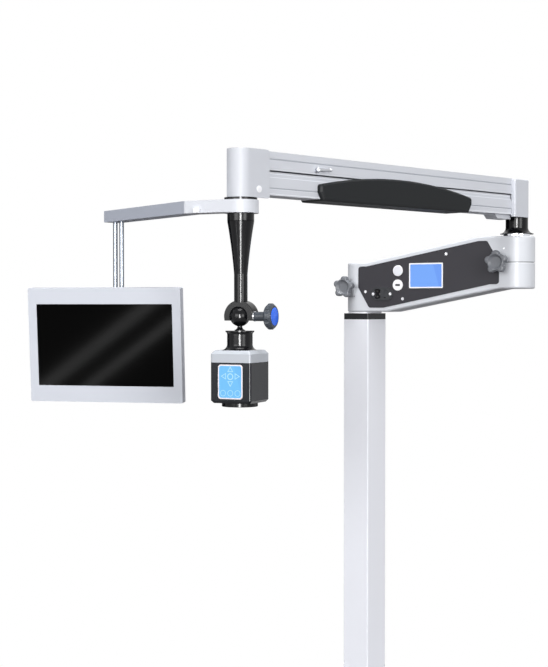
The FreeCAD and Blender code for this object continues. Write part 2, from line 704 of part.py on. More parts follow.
def column_tube():
    """Square hollow column welded to its foot plate."""
    outside = plan_plate(rectangle(COLUMN_SIDE, COLUMN_SIDE, COLUMN_CORNER), BASE_TOP, COLUMN_TOP)
    foot = plan_plate(rectangle(FOOT_SIDE, FOOT_SIDE, FOOT_CORNER), BASE_TOP, FOOT_TOP)
    inside = COLUMN_SIDE - 2 * COLUMN_WALL
    hollow = plan_plate(rectangle(inside, inside, 1), BASE_TOP - 1, COLUMN_TOP + 1)
    tube = joined(outside, foot).cut(hollow)
    half = FOOT_BOLT_SPACING / 2
    for x in (-half, half):
        for y in (-half, half):
            tube = tube.cut(upright(FOOT_BOLT_DIAMETER / 2 + FIXED_FIT, BASE_TOP - 1, FOOT_TOP + 1, x, y))
    return tube


def column_bolts():
    """Four socket-head screws that hold the foot plate down."""
    half = FOOT_BOLT_SPACING / 2
    bolts = []
    for x in (-half, half):
        for y in (-half, half):
            shank = upright(FOOT_BOLT_DIAMETER / 2, BASE_TOP - FOOT_BOLT_DEPTH, FOOT_TOP, x, y)
            head = upright(FOOT_BOLT_HEAD_DIAMETER / 2, FOOT_TOP, FOOT_TOP + FOOT_BOLT_HEAD, x, y)
            socket = upright(FOOT_BOLT_SOCKET_DIAMETER / 2, FOOT_TOP + FOOT_BOLT_HEAD / 2,
                             FOOT_TOP + FOOT_BOLT_HEAD + 1, x, y)
            bolts.append(joined(shank, head).cut(socket))
    return Part.makeCompound(bolts)


def column_cap():
    """Cap with a plug in the tube, a round thrust ring on top and a bore for the spindle."""
    cap = plan_plate(rectangle(COLUMN_SIDE, COLUMN_SIDE, COLUMN_CORNER), COLUMN_TOP, CAP_TOP)
    inside = COLUMN_SIDE - 2 * COLUMN_WALL - 2 * FIXED_FIT
    plug = plan_plate(rectangle(inside, inside, 1), COLUMN_TOP - CAP_PLUG, COLUMN_TOP)
    ring = upright(CAP_RING_RADIUS, CAP_TOP, CAP_TOP + CAP_RING)
    bore = upright(SPINDLE_RADIUS + FIXED_FIT, CAP_TOP + CAP_RING - SPINDLE_GRIP, CAP_TOP + CAP_RING + 1)
    return joined(cap, plug, ring).cut(bore)


def column_spindle():
    """Vertical spindle with a chamfered upper end."""
    low = CAP_TOP + CAP_RING - SPINDLE_GRIP
    high = ARM_LOW + SPINDLE_REACH
    return turned_polygon([(0, low), (SPINDLE_RADIUS, low), (SPINDLE_RADIUS, high - SPINDLE_CHAMFER),
                           (SPINDLE_RADIUS - SPINDLE_CHAMFER, high), (0, high)])


def build_column():
    """Everything between the base and the control arm."""
    keep("column_tube", column_tube())
    keep("column_bolts", column_bolts())
    keep("column_cap", column_cap())
    keep("column_spindle", column_spindle())


# Control arm, in its own frame: X from the column axis to the spring arm axis


def arm_slope():
    """Rise of the arm's upper and lower edges per millimetre."""
    return ARM_RISE / (low_bend_right() - ARM_LOW_BENDS[0])


def low_bend_right():
    """Where the sloping lower edge reaches the height of the spring arm end."""
    return ARM_REACH - ARM_LOW_BENDS[1]


def top_bend_right():
    """Where the sloping upper edge reaches the height of the spring arm end."""
    return ARM_TOP_BEND + ARM_RISE / arm_slope()


def control_arm_housing():
    """Cast housing: two round ends joined by a sloping box, with bores, a front pocket and clamp slits."""
    low, rise = ARM_LOW, ARM_RISE
    end = ARM_LOW + ARM_END_HEIGHT
    outline = [(0, low, 0), (ARM_LOW_BENDS[0], low, ARM_BEND_ROUND), (low_bend_right(), low + rise, ARM_END_ROUND),
               (ARM_REACH, low + rise, 0), (ARM_REACH, end + rise, 0), (top_bend_right(), end + rise, ARM_BEND_ROUND),
               (ARM_TOP_BEND, end, ARM_BEND_ROUND), (0, end, 0)]
    middle = side_plate(outline, -ARM_END_RADIUS, ARM_END_RADIUS)
    left = upright(ARM_END_RADIUS, low, end)
    right = upright(ARM_END_RADIUS, low + rise, end + rise, ARM_REACH)
    body = joined(left, middle, right)
    rims = [e for e in body.Edges if not is_upright(e)]
    body = body.makeFillet(ARM_EDGE_ROUND, rims)
    body = body.cut(side_plate(fascia_outline(0), ARM_FRONT - 1, ARM_FRONT + FASCIA_RECESS))
    pocket = side_plate(pocket_outline(), ARM_FRONT - 1, ARM_FRONT + ARM_POCKET_DEPTH)
    wells = [upright(BUSH_RADIUS + ARM_WALL, low, end),
             upright(BUSH_RADIUS + ARM_WALL, low + rise, end + rise, ARM_REACH)]
    body = body.cut(pocket.cut(wells[0]).cut(wells[1]))
    bore = BUSH_RADIUS + FIXED_FIT
    body = body.cut(upright(bore, low - 1, low + END_BORE_DEPTH))
    body = body.cut(upright(bore, end + rise - END_BORE_DEPTH, end + rise + 1, ARM_REACH))
    for x, z in star_places():
        body = body.cut(clamp_slit(x, z))
        body = body.cut(across(STAR_SCREW_DIAMETER / 2 + RUNNING_FIT, 2 * ARM_FRONT,
                               ARM_FRONT + STAR_SCREW_REACH + 1, x, z))
        body = body.cut(across(STAR_NECK_RADIUS + STAR_SPOT_PLAY, 2 * ARM_FRONT, ARM_FRONT + STAR_SPOT_DEPTH, x, z))
    for x, z in fascia_screw_places():
        body = body.cut(screw_hole(x, ARM_LOW + z, fascia_back()))
    for x, z in end_screw_places():
        body = body.cut(screw_hole(x, ARM_LOW + z, ARM_FRONT))
    for x, z in inlet_screw_places():
        body = body.cut(screw_hole(x, z, fascia_back()))
    return body


def fascia_screw_places():
    """The four fascia screws, two counted from each end of the arm."""
    return list(LEFT_SCREWS) + [(ARM_REACH - x, z) for x, z in RIGHT_SCREWS]


def end_screw_places():
    """The two stop screws beside the knobs."""
    left, right = END_SCREWS
    return [left, (ARM_REACH - right[0], right[1])]


def clamp_slit(x, z):
    """The thin slit round one end of the arm, level with its brake screw."""
    centre = x - STAR_OFFSET
    groove = upright(ARM_END_RADIUS + 5, z - SLIT_WIDTH / 2, z + SLIT_WIDTH / 2, centre)
    groove = groove.cut(upright(ARM_END_RADIUS - SLIT_DEPTH, z - SLIT_WIDTH, z + SLIT_WIDTH, centre))
    reach = 2 * ARM_END_RADIUS
    x0, x1 = (x, centre + reach) if centre > ARM_REACH / 2 else (centre - reach, centre)
    return groove.common(box(x0, x1, -reach, reach, z - SLIT_WIDTH, z + SLIT_WIDTH))


def is_upright(edge):
    """True for a straight vertical edge."""
    ends = edge.Vertexes
    return len(ends) == 2 and abs(ends[0].X - ends[1].X) < 1e-6 and abs(ends[0].Y - ends[1].Y) < 1e-6


def screw_hole(x, z, y):
    """The tapped hole of a small front screw, from the face at y."""
    return across(FASCIA_SCREW_DIAMETER / 2 + FIXED_FIT, y - FASCIA_SCREW_HEAD, y + SCREW_HOLE_DEPTH, x, z)


def star_places():
    """Where the two brake screws cross the arm's front."""
    return [(STAR_OFFSET, ARM_LOW + STAR_HEIGHT), (ARM_REACH + STAR_OFFSET, ARM_LOW + ARM_RISE + STAR_HEIGHT)]


def fascia_outline(shrink):
    """The fascia's outline: parallel to the arm's edges, with the lower left and upper right corners cut."""
    low = ARM_LOW + FASCIA_MARGIN + shrink
    high = ARM_LOW + ARM_END_HEIGHT - FASCIA_MARGIN - shrink
    left, right = FASCIA_LEFT + shrink, ARM_REACH - FASCIA_RIGHT - shrink
    r = FASCIA_ROUND
    bend_low, bend_high = ARM_LOW_BENDS[0] + FASCIA_BEND_SHIFT[0], top_bend_right() + FASCIA_BEND_SHIFT[1]
    return [(left + FASCIA_CUT[0], low, r), (bend_low, low, FASCIA_BEND_ROUND),
            (right - FASCIA_SHOULDER, low + ARM_RISE, r / 2),
            (right, low + ARM_RISE, r), (right, high + ARM_RISE - FASCIA_CUT[1], r),
            (right - FASCIA_CUT[0], high + ARM_RISE, r), (bend_high, high + ARM_RISE, FASCIA_BEND_ROUND),
            (left + FASCIA_SHOULDER, high, r / 2), (left, high, r), (left, low + FASCIA_CUT[1], r)]


def pocket_outline():
    """The cavity behind the fascia, short of the two round ends."""
    inset = ARM_WALL
    low = ARM_LOW + FASCIA_MARGIN + inset
    high = ARM_LOW + ARM_END_HEIGHT - FASCIA_MARGIN - inset
    near, far = ARM_END_RADIUS + POCKET_FROM_ENDS[0], ARM_REACH - ARM_END_RADIUS - POCKET_FROM_ENDS[1]
    slope = arm_slope()
    start, top_start = ARM_LOW_BENDS[0] + FASCIA_BEND_SHIFT[0], ARM_TOP_BEND + inset
    corner = inset / 2
    return [(near, low, corner), (start, low, inset), (far, low + (far - start) * slope, corner),
            (far, high + (far - top_start) * slope, corner), (near, high + (near - top_start) * slope, corner)]


def arm_bushes():
    """Two plain bushes in each round end of the arm."""
    def bush(x, z0, z1):
        return upright(BUSH_RADIUS, z0, z1, x).cut(upright(SPINDLE_RADIUS + RUNNING_FIT, z0 - 1, z1 + 1, x))
    top = ARM_LOW + ARM_END_HEIGHT + ARM_RISE
    return Part.makeCompound([
        bush(0, ARM_LOW, ARM_LOW + BUSH_LENGTH),
        bush(0, ARM_LOW + END_BORE_DEPTH - BUSH_LENGTH, ARM_LOW + END_BORE_DEPTH),
        bush(ARM_REACH, top - BUSH_LENGTH, top),
        bush(ARM_REACH, top - END_BORE_DEPTH, top - END_BORE_DEPTH + BUSH_LENGTH),
    ])


def fascia_back():
    """The face of the arm that the fascia lies on."""
    return ARM_FRONT + FASCIA_RECESS


def fascia_front():
    """The fascia's visible face."""
    return fascia_back() - FASCIA_THICKNESS


def fascia_plate():
    """Front plate with windows for the display, the buttons, the inlet and its screws."""
    y0, y1 = fascia_front(), fascia_back()
    plate = side_plate(fascia_outline(FIXED_FIT), y0, y1)
    plate = plate.cut(side_plate(rectangle(DISPLAY_SIZE[0] - 2 * DISPLAY_BORDER, DISPLAY_SIZE[1] - 2 * DISPLAY_BORDER,
                                           0, DISPLAY_PLACE[0], ARM_LOW + DISPLAY_PLACE[1]), y0 - 1, y1 + 1))
    for (x, z), diameter in ((BUTTON_PLACE, BUTTON_DIAMETER), (USB_PLACE, INSERT_DIAMETER)):
        plate = plate.cut(across(diameter / 2 + SEAT_GAP, y0 - 1, y1 + 1, x, ARM_LOW + z))
    plate = plate.cut(side_plate(inlet_body_outline(SEAT_GAP), y0 - 1, y1 + 1))
    for x, z in fascia_screw_places():
        plate = plate.cut(screw_hole(x, ARM_LOW + z, y1))
        plate = plate.cut(screw_cone(x, ARM_LOW + z, y0, FIXED_FIT))
    for x, z in inlet_screw_places():
        plate = plate.cut(screw_hole(x, z, y1))
        plate = plate.cut(screw_cone(x, z, y0 - INLET_PROUD, FIXED_FIT))
    x, z = star_places()[1]
    return plate.cut(across(STAR_NECK_RADIUS + STAR_SPOT_PLAY, y0 - 1, y1 + 1, x, z))


def screw_cone(x, z, y, play):
    """A countersunk head whose flat face is at y."""
    depth = (FASCIA_SCREW_HEAD - FASCIA_SCREW_DIAMETER) / 2
    return Part.makeCone(FASCIA_SCREW_HEAD / 2 + play, FASCIA_SCREW_DIAMETER / 2 + play, depth,
                         V(x, y, z), V(0, 1, 0))


def front_screw(x, z, y, length):
    """A countersunk screw, its head flush at y, with a hexagon socket."""
    screw = joined(screw_cone(x, z, y, 0), across(FASCIA_SCREW_DIAMETER / 2, y, y + length, x, z))
    return screw.cut(across(FASCIA_SCREW_SOCKET, y - 1, y + FASCIA_SCREW_SOCKET, x, z))


def arm_screws():
    """Fascia screws, inlet screws and the two stop screws beside the knobs."""
    screws = [front_screw(x, ARM_LOW + z, fascia_front(), FASCIA_SCREW_LENGTH) for x, z in fascia_screw_places()]
    inlet_front = fascia_front() - INLET_PROUD
    screws += [front_screw(x, z, inlet_front, INLET_SCREW_LENGTH) for x, z in inlet_screw_places()]
    for x, z in end_screw_places():
        screws.append(across(FASCIA_SCREW_DIAMETER / 2, end_face(x), ARM_FRONT + SCREW_HOLE_DEPTH, x, ARM_LOW + z))
    return Part.makeCompound(screws)


def end_face(x):
    """The Y of the arm's front at a place near one of its round ends."""
    past = max(-x, x - ARM_REACH, 0)
    return -math.sqrt(ARM_END_RADIUS ** 2 - past ** 2)


def display_window():
    """Raised display frame with the glass set in it."""
    x, z = DISPLAY_PLACE[0], ARM_LOW + DISPLAY_PLACE[1]
    width, height = DISPLAY_SIZE
    front = fascia_front()
    rim = side_plate(rectangle(width, height, 2, x, z), front - DISPLAY_PROUD, front)
    throat = side_plate(rectangle(width - 2 * DISPLAY_BORDER - 2 * FIXED_FIT,
                                  height - 2 * DISPLAY_BORDER - 2 * FIXED_FIT, 0, x, z), front, front + DISPLAY_DEPTH)
    glass_size = (width - 2 * DISPLAY_BORDER - 2 * DISPLAY_LIP, height - 2 * DISPLAY_BORDER - 2 * DISPLAY_LIP)
    opening = side_plate(rectangle(*glass_size, 0, x, z), front - 2, front + DISPLAY_DEPTH + 1)
    glass = side_plate(rectangle(*glass_size, 0, x, z), front, front + DISPLAY_DEPTH)
    return Part.makeCompound([joined(rim, throat).cut(opening), glass])


def power_button():
    """Round push button with a thin skirt and a stem that reaches the board."""
    x, z = BUTTON_PLACE[0], ARM_LOW + BUTTON_PLACE[1]
    front = fascia_front() - BUTTON_PROUD
    button = across(BUTTON_DIAMETER / 2, front, fascia_back(), x, z)
    rim = [e for e in button.Edges if abs(e.CenterOfMass.y - front) < 1e-6]
    button = button.makeChamfer(BUTTON_CHAMFER, rim)
    stem_end = board_face() - BOARD_SWITCH[1] - BUTTON_TRAVEL - SEAT_GAP
    stem = across(BUTTON_STEM_RADIUS, fascia_back(), stem_end, x, z)
    return joined(button, stem)


def board_face():
    """The front of the control board, behind the display."""
    return fascia_front() + DISPLAY_DEPTH


def usb_port():
    """Round insert with a data socket; its tongue stands in the slot."""
    x, z = USB_PLACE[0], ARM_LOW + USB_PLACE[1]
    front = fascia_front() - BUTTON_PROUD
    flange = across(INSERT_FLANGE_DIAMETER / 2, front, fascia_front(), x, z)
    body = across(INSERT_DIAMETER / 2, fascia_front(), board_face(), x, z)
    floor = board_face() - USB_FLOOR
    slot = side_plate(rectangle(*USB_SLOT, 0.6, x, z), front - 1, floor)
    tongue = side_plate(rectangle(*USB_TONGUE, 0, x, z + USB_TONGUE_RISE), front + 1, floor + 1)
    return joined(joined(flange, body).cut(slot), tongue)


def inlet_screw_places():
    """The two screws through the inlet's flange."""
    return [(INLET_PLACE[0] + side * INLET_SCREW_SPACING / 2, ARM_LOW + INLET_PLACE[1]) for side in (-1, 1)]


def inlet_outline(shrink):
    """Flange outline with pointed ends."""
    x, z = INLET_PLACE[0], ARM_LOW + INLET_PLACE[1]
    half_length, half_height = INLET_FLANGE[0] / 2 - shrink, INLET_FLANGE[1] / 2 - shrink
    shoulder = INLET_FLANGE[0] / 2 - INLET_POINT - shrink / 2
    tip = INLET_TIP - shrink / 2
    return [(x - half_length, z - tip, 1), (x - shoulder, z - half_height, 2), (x + shoulder, z - half_height, 2),
            (x + half_length, z - tip, 1), (x + half_length, z + tip, 1), (x + shoulder, z + half_height, 2),
            (x - shoulder, z + half_height, 2), (x - half_length, z + tip, 1)]


def inlet_body_outline(grow):
    """Outline of the inlet's body behind its flange."""
    width = INLET_FLANGE[0] - 2 * (INLET_POINT + INLET_STEP[0]) + 2 * grow
    height = INLET_FLANGE[1] - 2 * INLET_STEP[1] + 2 * grow
    return rectangle(width, height, 1, INLET_PLACE[0], ARM_LOW + INLET_PLACE[1])


def power_inlet():
    """Mains inlet and switch housing: flange, body, socket and the rocker's well."""
    x, z = INLET_PLACE[0], ARM_LOW + INLET_PLACE[1]
    front, face = fascia_front() - INLET_PROUD, fascia_front()
    flange = side_plate(inlet_outline(0), front, face)
    body = side_plate(inlet_body_outline(0), face, face + INLET_DEPTH)
    shape = joined(flange, body)
    socket = side_plate(rectangle(*INLET_SOCKET, 3, x + INLET_SOCKET_OFFSET, z), front - 1, front + INLET_SOCKET_DEPTH)
    well = side_plate(rectangle(SWITCH_SIZE[0] + 2 * SEAT_GAP, SWITCH_SIZE[1] + 2 * SEAT_GAP, 0.5,
                                x + SWITCH_OFFSET, z), front - 1, front + SWITCH_WELL)
    shape = shape.cut(socket).cut(well)
    for sx, sz in inlet_screw_places():
        shape = shape.cut(across(FASCIA_SCREW_DIAMETER / 2 + FIXED_FIT, front - 1, face + 1, sx, sz))
        shape = shape.cut(screw_cone(sx, sz, front, FIXED_FIT))
    pivot = switch_pivot()
    reach = SWITCH_SIZE[0] / 2 + 2 * SEAT_GAP + SWITCH_TRUNNION
    return shape.cut(rod(SWITCH_TRUNNION + RUNNING_FIT, (pivot.x - reach, pivot.y, pivot.z),
                         (pivot.x + reach, pivot.y, pivot.z)))


def switch_pivot():
    """The rocker's pivot."""
    return V(INLET_PLACE[0] + SWITCH_OFFSET, fascia_front() - INLET_PROUD + SWITCH_SET_BACK, ARM_LOW + INLET_PLACE[1])


def power_switch():
    """Rocker with a shallow V front, on two small trunnions, its lower end out at rest."""
    p = switch_pivot()
    half, width = SWITCH_SIZE[1] / 2 - 1, SWITCH_SIZE[0]
    outline = [(-6.6, -half), (-5.6, 0), (-6.6, half), (3, half - 1.4), (3, 1.4 - half)]
    points = [V(p.x - width / 2, p.y + y, p.z + z) for y, z in outline]
    points.append(points[0])
    rocker = Part.Face(Part.makePolygon(points)).extrude(V(width, 0, 0))
    rocker.rotate(p, V(1, 0, 0), -SWITCH_TILT)
    reach = width / 2 + SEAT_GAP + SWITCH_TRUNNION
    trunnions = rod(SWITCH_TRUNNION, (p.x - reach, p.y, p.z), (p.x + reach, p.y, p.z))
    return joined(rocker, trunnions)


def inlet_pins():
    """The three blades in the mains inlet."""
    x, z = INLET_PLACE[0] + INLET_SOCKET_OFFSET, ARM_LOW + INLET_PLACE[1]
    back = fascia_front() - INLET_PROUD + INLET_SOCKET_DEPTH
    blades = []
    for dx, dz in ((-3, -PIN_BLADE_PITCH), (3, 0), (-3, PIN_BLADE_PITCH)):
        blades.append(box(x + dx - PIN_BLADE[1] / 2, x + dx + PIN_BLADE[1] / 2, back - PIN_BLADE_LENGTH, back,
                          z + dz - PIN_BLADE[0] / 2, z + dz + PIN_BLADE[0] / 2))
    return Part.makeCompound(blades)


def control_board():
    """Circuit board on the display's back, with the button's switch on its front."""
    x, z = DISPLAY_PLACE[0] - BOARD_SHIFT, ARM_LOW + DISPLAY_PLACE[1]
    face = board_face()
    rear = face + BOARD_THICKNESS
    board = side_plate(rectangle(*BOARD_SIZE, 3, x, z), face, rear)
    side, height = BOARD_SWITCH
    switch = side_plate(rectangle(side, side, 0, BUTTON_PLACE[0], ARM_LOW + BUTTON_PLACE[1]), face - height, face)
    posts = [across(BOARD_POST_RADIUS, rear, ARM_FRONT + ARM_POCKET_DEPTH, x + dx, z) for dx in BOARD_POSTS]
    return joined(board, switch, *posts)


def star_knob(x, z, turn):
    """Star knob along -Y with a dished front, a neck and a long brake screw."""
    seat = ARM_FRONT + STAR_SPOT_DEPTH - SEAT_GAP
    back = seat - STAR_NECK - STAR_SPOT_DEPTH
    front = back - STAR_THICKNESS
    ring = STAR_RADIUS - STAR_LOBE_RADIUS
    disc = across(ring + 2, front, back, x, z)
    lobes = []
    for i in range(STAR_LOBES):
        angle = math.radians(90 + turn + 360 / STAR_LOBES * i)
        lobes.append(across(STAR_LOBE_RADIUS, front, back, x + ring * math.cos(angle), z + ring * math.sin(angle)))
    star = joined(disc, *lobes)
    rims = [e for e in star.Edges if abs(e.BoundBox.YLength) < 1e-6]
    star = star.makeFillet(STAR_ROUND, rims)
    star = star.cut(Part.makeCone(*STAR_DISH_RADII, STAR_DISH_DEPTH, V(x, front, z), V(0, 1, 0)))
    neck = Part.makeCone(STAR_NECK_RADIUS + STAR_NECK_FLARE, STAR_NECK_RADIUS, STAR_NECK, V(x, back, z), V(0, 1, 0))
    collar = across(STAR_NECK_RADIUS, back + STAR_NECK, seat, x, z)
    screw = across(STAR_SCREW_DIAMETER / 2, seat, ARM_FRONT + STAR_SCREW_REACH, x, z)
    return joined(star, neck, collar, screw)


def build_control_arm():
    """The arm between the column and the spring arm, with its controls."""
    places = star_places()
    assembly = {
        "control_arm_housing": control_arm_housing(), "arm_bushes": arm_bushes(), "fascia_plate": fascia_plate(),
        "arm_screws": arm_screws(), "display_window": display_window(), "usb_port": usb_port(),
        "power_inlet": power_inlet(), "inlet_pins": inlet_pins(), "control_board": control_board(),
        "power_button": power_button(), "power_switch": power_switch(),
        "column_brake_knob": star_knob(*places[0], STAR_TURNS[0]),
        "swivel_brake_knob": star_knob(*places[1], STAR_TURNS[1]),
    }
    for name, shape in assembly.items():
        keep(name, shape, CONTROL_FRAME)


# Spring arm, in its own frame: X from the control arm's axis to the drop axis


def arm_post():
    """Flared post with the swivel spindle that runs in the control arm."""
    low, high, bottom = POST_LOW, POST_TOP, DISC_LOW - SPINDLE_REACH
    flare = low + POST_FLARE
    knee = (POST_RADIUS + (POST_FLARE_RADIUS - POST_RADIUS) * POST_KNEE[0], low + POST_FLARE * POST_KNEE[1])
    return turned([
        line((0, bottom), (SPINDLE_RADIUS - SPINDLE_CHAMFER, bottom)),
        line((SPINDLE_RADIUS - SPINDLE_CHAMFER, bottom), (SPINDLE_RADIUS, bottom + SPINDLE_CHAMFER)),
        line((SPINDLE_RADIUS, bottom + SPINDLE_CHAMFER), (SPINDLE_RADIUS, low)),
        line((SPINDLE_RADIUS, low), (POST_FLARE_RADIUS, low)),
        line((POST_FLARE_RADIUS, low), (POST_FLARE_RADIUS, low + POST_RIM)),
        arc((POST_FLARE_RADIUS, low + POST_RIM), knee, (POST_RADIUS, flare)),
        line((POST_RADIUS, flare), (POST_RADIUS, high)),
        line((POST_RADIUS, high), (0, high)),
        line((0, high), (0, bottom)),
    ])


def swivel_disc():
    """Polished washer between the control arm and the post."""
    disc = upright(DISC_RADIUS, DISC_LOW, POST_LOW)
    return disc.cut(upright(SPINDLE_RADIUS + FIXED_FIT, DISC_LOW - 1, POST_LOW + 1))


def slot_half():
    """Half the width between a knuckle's cheeks."""
    return BEAM_WIDTH / 2 + BEAM_SIDE_PLAY


def rear_knuckle():
    """Fork on the post: a round core with two thick cheeks for the beams' pins."""
    low, high = POST_TOP, POST_TOP + REAR_KNUCKLE_HEIGHT
    half = REAR_KNUCKLE_WIDTH / 2
    core = upright(KNUCKLE_CORE_RADIUS, low, high)
    corner = KNUCKLE_CORNER
    cheeks = plan_plate([(-KNUCKLE_BACK, -half, corner), (REAR_KNUCKLE_LENGTH, -half, corner),
                         (REAR_KNUCKLE_LENGTH, half, corner), (-KNUCKLE_BACK, half, corner)], low, high)
    knuckle = joined(core, cheeks)
    rims = [e for e in knuckle.Edges if e.BoundBox.ZLength < 1e-6 and e.BoundBox.ZMin > high - 1]
    knuckle = knuckle.makeFillet(KNUCKLE_ROUND, rims)
    slot = box(KNUCKLE_WEB, REAR_KNUCKLE_LENGTH + 1, -slot_half(), slot_half(), low - 1, high + 1)
    knuckle = knuckle.cut(slot)
    for z in (LOWER_PIN, UPPER_PIN):
        knuckle = knuckle.cut(across(PIN_DIAMETER / 2 + FIXED_FIT, -half - 1, half - PIN_COVERS[0], PIN_SETBACK, z))
    return knuckle


def front_knuckle():
    """Fork over the drop axis: a round front with two thin cheeks for the beams' pins."""
    low = FRONT_KNUCKLE_LOW
    high = low + FRONT_KNUCKLE_HEIGHT
    half = KNUCKLE_CORE_RADIUS
    core = upright(half, low, high, SPRING_REACH)
    back = SPRING_REACH - FRONT_KNUCKLE_LENGTH
    cheeks = side_plate([(back, low, FRONT_CORNERS[0]), (SPRING_REACH, low, 0), (SPRING_REACH, high, 0),
                         (back, high, FRONT_CORNERS[1])], -half, half)
    knuckle = joined(core, cheeks)
    slot = box(back - 1, SPRING_REACH - KNUCKLE_WEB, -slot_half(), slot_half(), low - 1, high + 1)
    knuckle = knuckle.cut(slot)
    for z, end in ((LOWER_PIN, half + 1), (UPPER_PIN, half - PIN_COVERS[1])):
        knuckle = knuckle.cut(across(PIN_DIAMETER / 2 + FIXED_FIT, -half - 1, end, FRONT_PIN, z))
    bore = upright(DROP_SPINDLE_DIAMETER / 2 + FIXED_FIT, low - 1, low + DROP_SPINDLE_GRIP, SPRING_REACH)
    return knuckle.cut(bore)


def pins(x, half, lower_end, upper_end):
    """A knuckle's lower and upper cross pins, from its hidden side to their own ends."""
    return Part.makeCompound([across(PIN_DIAMETER / 2, -half, lower_end, x, LOWER_PIN),
                              across(PIN_DIAMETER / 2, -half, upper_end, x, UPPER_PIN)])


def upper_beam():
    """Channel open below, its ends rounded about the upper pins, with cross bosses inside."""
    half = BEAM_WIDTH / 2
    low, high = UPPER_PIN - UPPER_BEAM_LOW, UPPER_PIN + UPPER_BEAM_TOP
    body = box(PIN_SETBACK, FRONT_PIN, -half, half, low, high)
    ends = [across(UPPER_BEAM_TOP, -half, half, x, UPPER_PIN) for x in (PIN_SETBACK, FRONT_PIN)]
    body = joined(body, *ends)
    wall = UPPER_BEAM_WALL
    inside = box(PIN_SETBACK - UPPER_BEAM_TOP + wall, FRONT_PIN + UPPER_BEAM_TOP - wall,
                 -half + wall, half - wall, low - 1, high - 2 * wall)
    body = body.cut(inside)
    bosses = [across(PIN_BOSS_RADIUS, -half + wall / 2, half - wall / 2, x, UPPER_PIN)
              for x in (PIN_SETBACK, FRONT_PIN)]
    body = joined(body, *bosses)
    for x in (PIN_SETBACK, FRONT_PIN):
        body = body.cut(across(PIN_DIAMETER / 2 + RUNNING_FIT, -half - 1, half + 1, x, UPPER_PIN))
    line_z = UPPER_PIN + UPPER_GROOVE
    for side in (-1, 1):
        y0, y1 = sorted((side * (half - GROOVE_DEPTH), side * (half + 1)))
        body = body.cut(box(PIN_SETBACK + GROOVE_FROM_PIN, FRONT_PIN - GROOVE_FROM_PIN, y0, y1,
                            line_z, line_z + GROOVE_WIDTH))
    lever = across(LEVER_RADIUS + RUNNING_FIT, half - wall - 1, half + 1, LEVER_PLACE, UPPER_PIN - LEVER_BELOW_PIN)
    return body.cut(lever)


def lower_beam():
    """Trough whose narrower lips slide into the upper beam; solid lugs at the pins, adjuster block below."""
    half = BEAM_WIDTH / 2
    lip = half - UPPER_BEAM_WALL - LOWER_LIP_PLAY
    low, high, step = LOWER_PIN - LOWER_BEAM_LOW, LOWER_PIN + LOWER_BEAM_TOP, LOWER_PIN + LOWER_STEP
    rear, front = PIN_SETBACK + LOWER_LUG_LENGTH, FRONT_PIN - LOWER_LUG_LENGTH
    trough = box(rear, front, -half, half, low, step)
    lips = box(rear, front, -lip, lip, low, high)
    bar = box(PIN_SETBACK, FRONT_PIN, -half, half, low, LOWER_PIN + LOWER_BEAM_LOW)
    lugs = [across(LOWER_BEAM_LOW, -half, half, x, LOWER_PIN) for x in (PIN_SETBACK, FRONT_PIN)]
    block_rear, block_front = ADJUSTER_SPAN
    adjuster = side_plate([(block_rear, low - ADJUSTER_DROP, 0), (block_front - ADJUSTER_SLANT, low - ADJUSTER_DROP, 0),
                           (block_front, low, 0), (block_rear, low, 0)], -ADJUSTER_WIDTH / 2, ADJUSTER_WIDTH / 2)
    body = joined(trough, lips, bar, *lugs, adjuster)
    inner = lip - LOWER_LIP_WALL
    body = body.cut(box(rear + LOWER_LUG_WALL, front - LOWER_LUG_WALL, -inner, inner, low + LOWER_FLOOR, high + 1))
    body = body.cut(across(PIN_DIAMETER / 2 + RUNNING_FIT, -half - 1, half + 1, PIN_SETBACK, LOWER_PIN))
    body = body.cut(across(PIN_DIAMETER / 2 + OPEN_PIVOT_PLAY, -half - 1, half + 1, FRONT_PIN, LOWER_PIN))
    line_z = LOWER_PIN + LOWER_GROOVE
    for side in (-1, 1):
        y0, y1 = sorted((side * (half - GROOVE_DEPTH), side * (half + 1)))
        body = body.cut(box(rear, front, y0, y1, line_z, line_z + GROOVE_WIDTH))
    return body


def balance_spring():
    """Closed coil spring, as its outer shape, round its pull rod with an end plate."""
    rear = PIN_SETBACK + LOWER_LUG_LENGTH + LOWER_LUG_WALL
    end = rear + SPRING_LENGTH
    radius = SPRING_DIAMETER / 2
    z = LOWER_PIN - LOWER_BEAM_LOW + LOWER_FLOOR + SPRING_FLOOR_GAP + radius
    coil = rod(radius, (rear, 0, z), (end, 0, z)).cut(rod(radius - SPRING_WIRE, (rear - 1, 0, z), (end + 1, 0, z)))
    bar = rod(SPRING_ROD_DIAMETER / 2, (rear, 0, z), (end + SPRING_PLATE, 0, z))
    plate = rod(radius, (end, 0, z), (end + SPRING_PLATE, 0, z))
    return Part.makeCompound([coil, joined(bar, plate)])


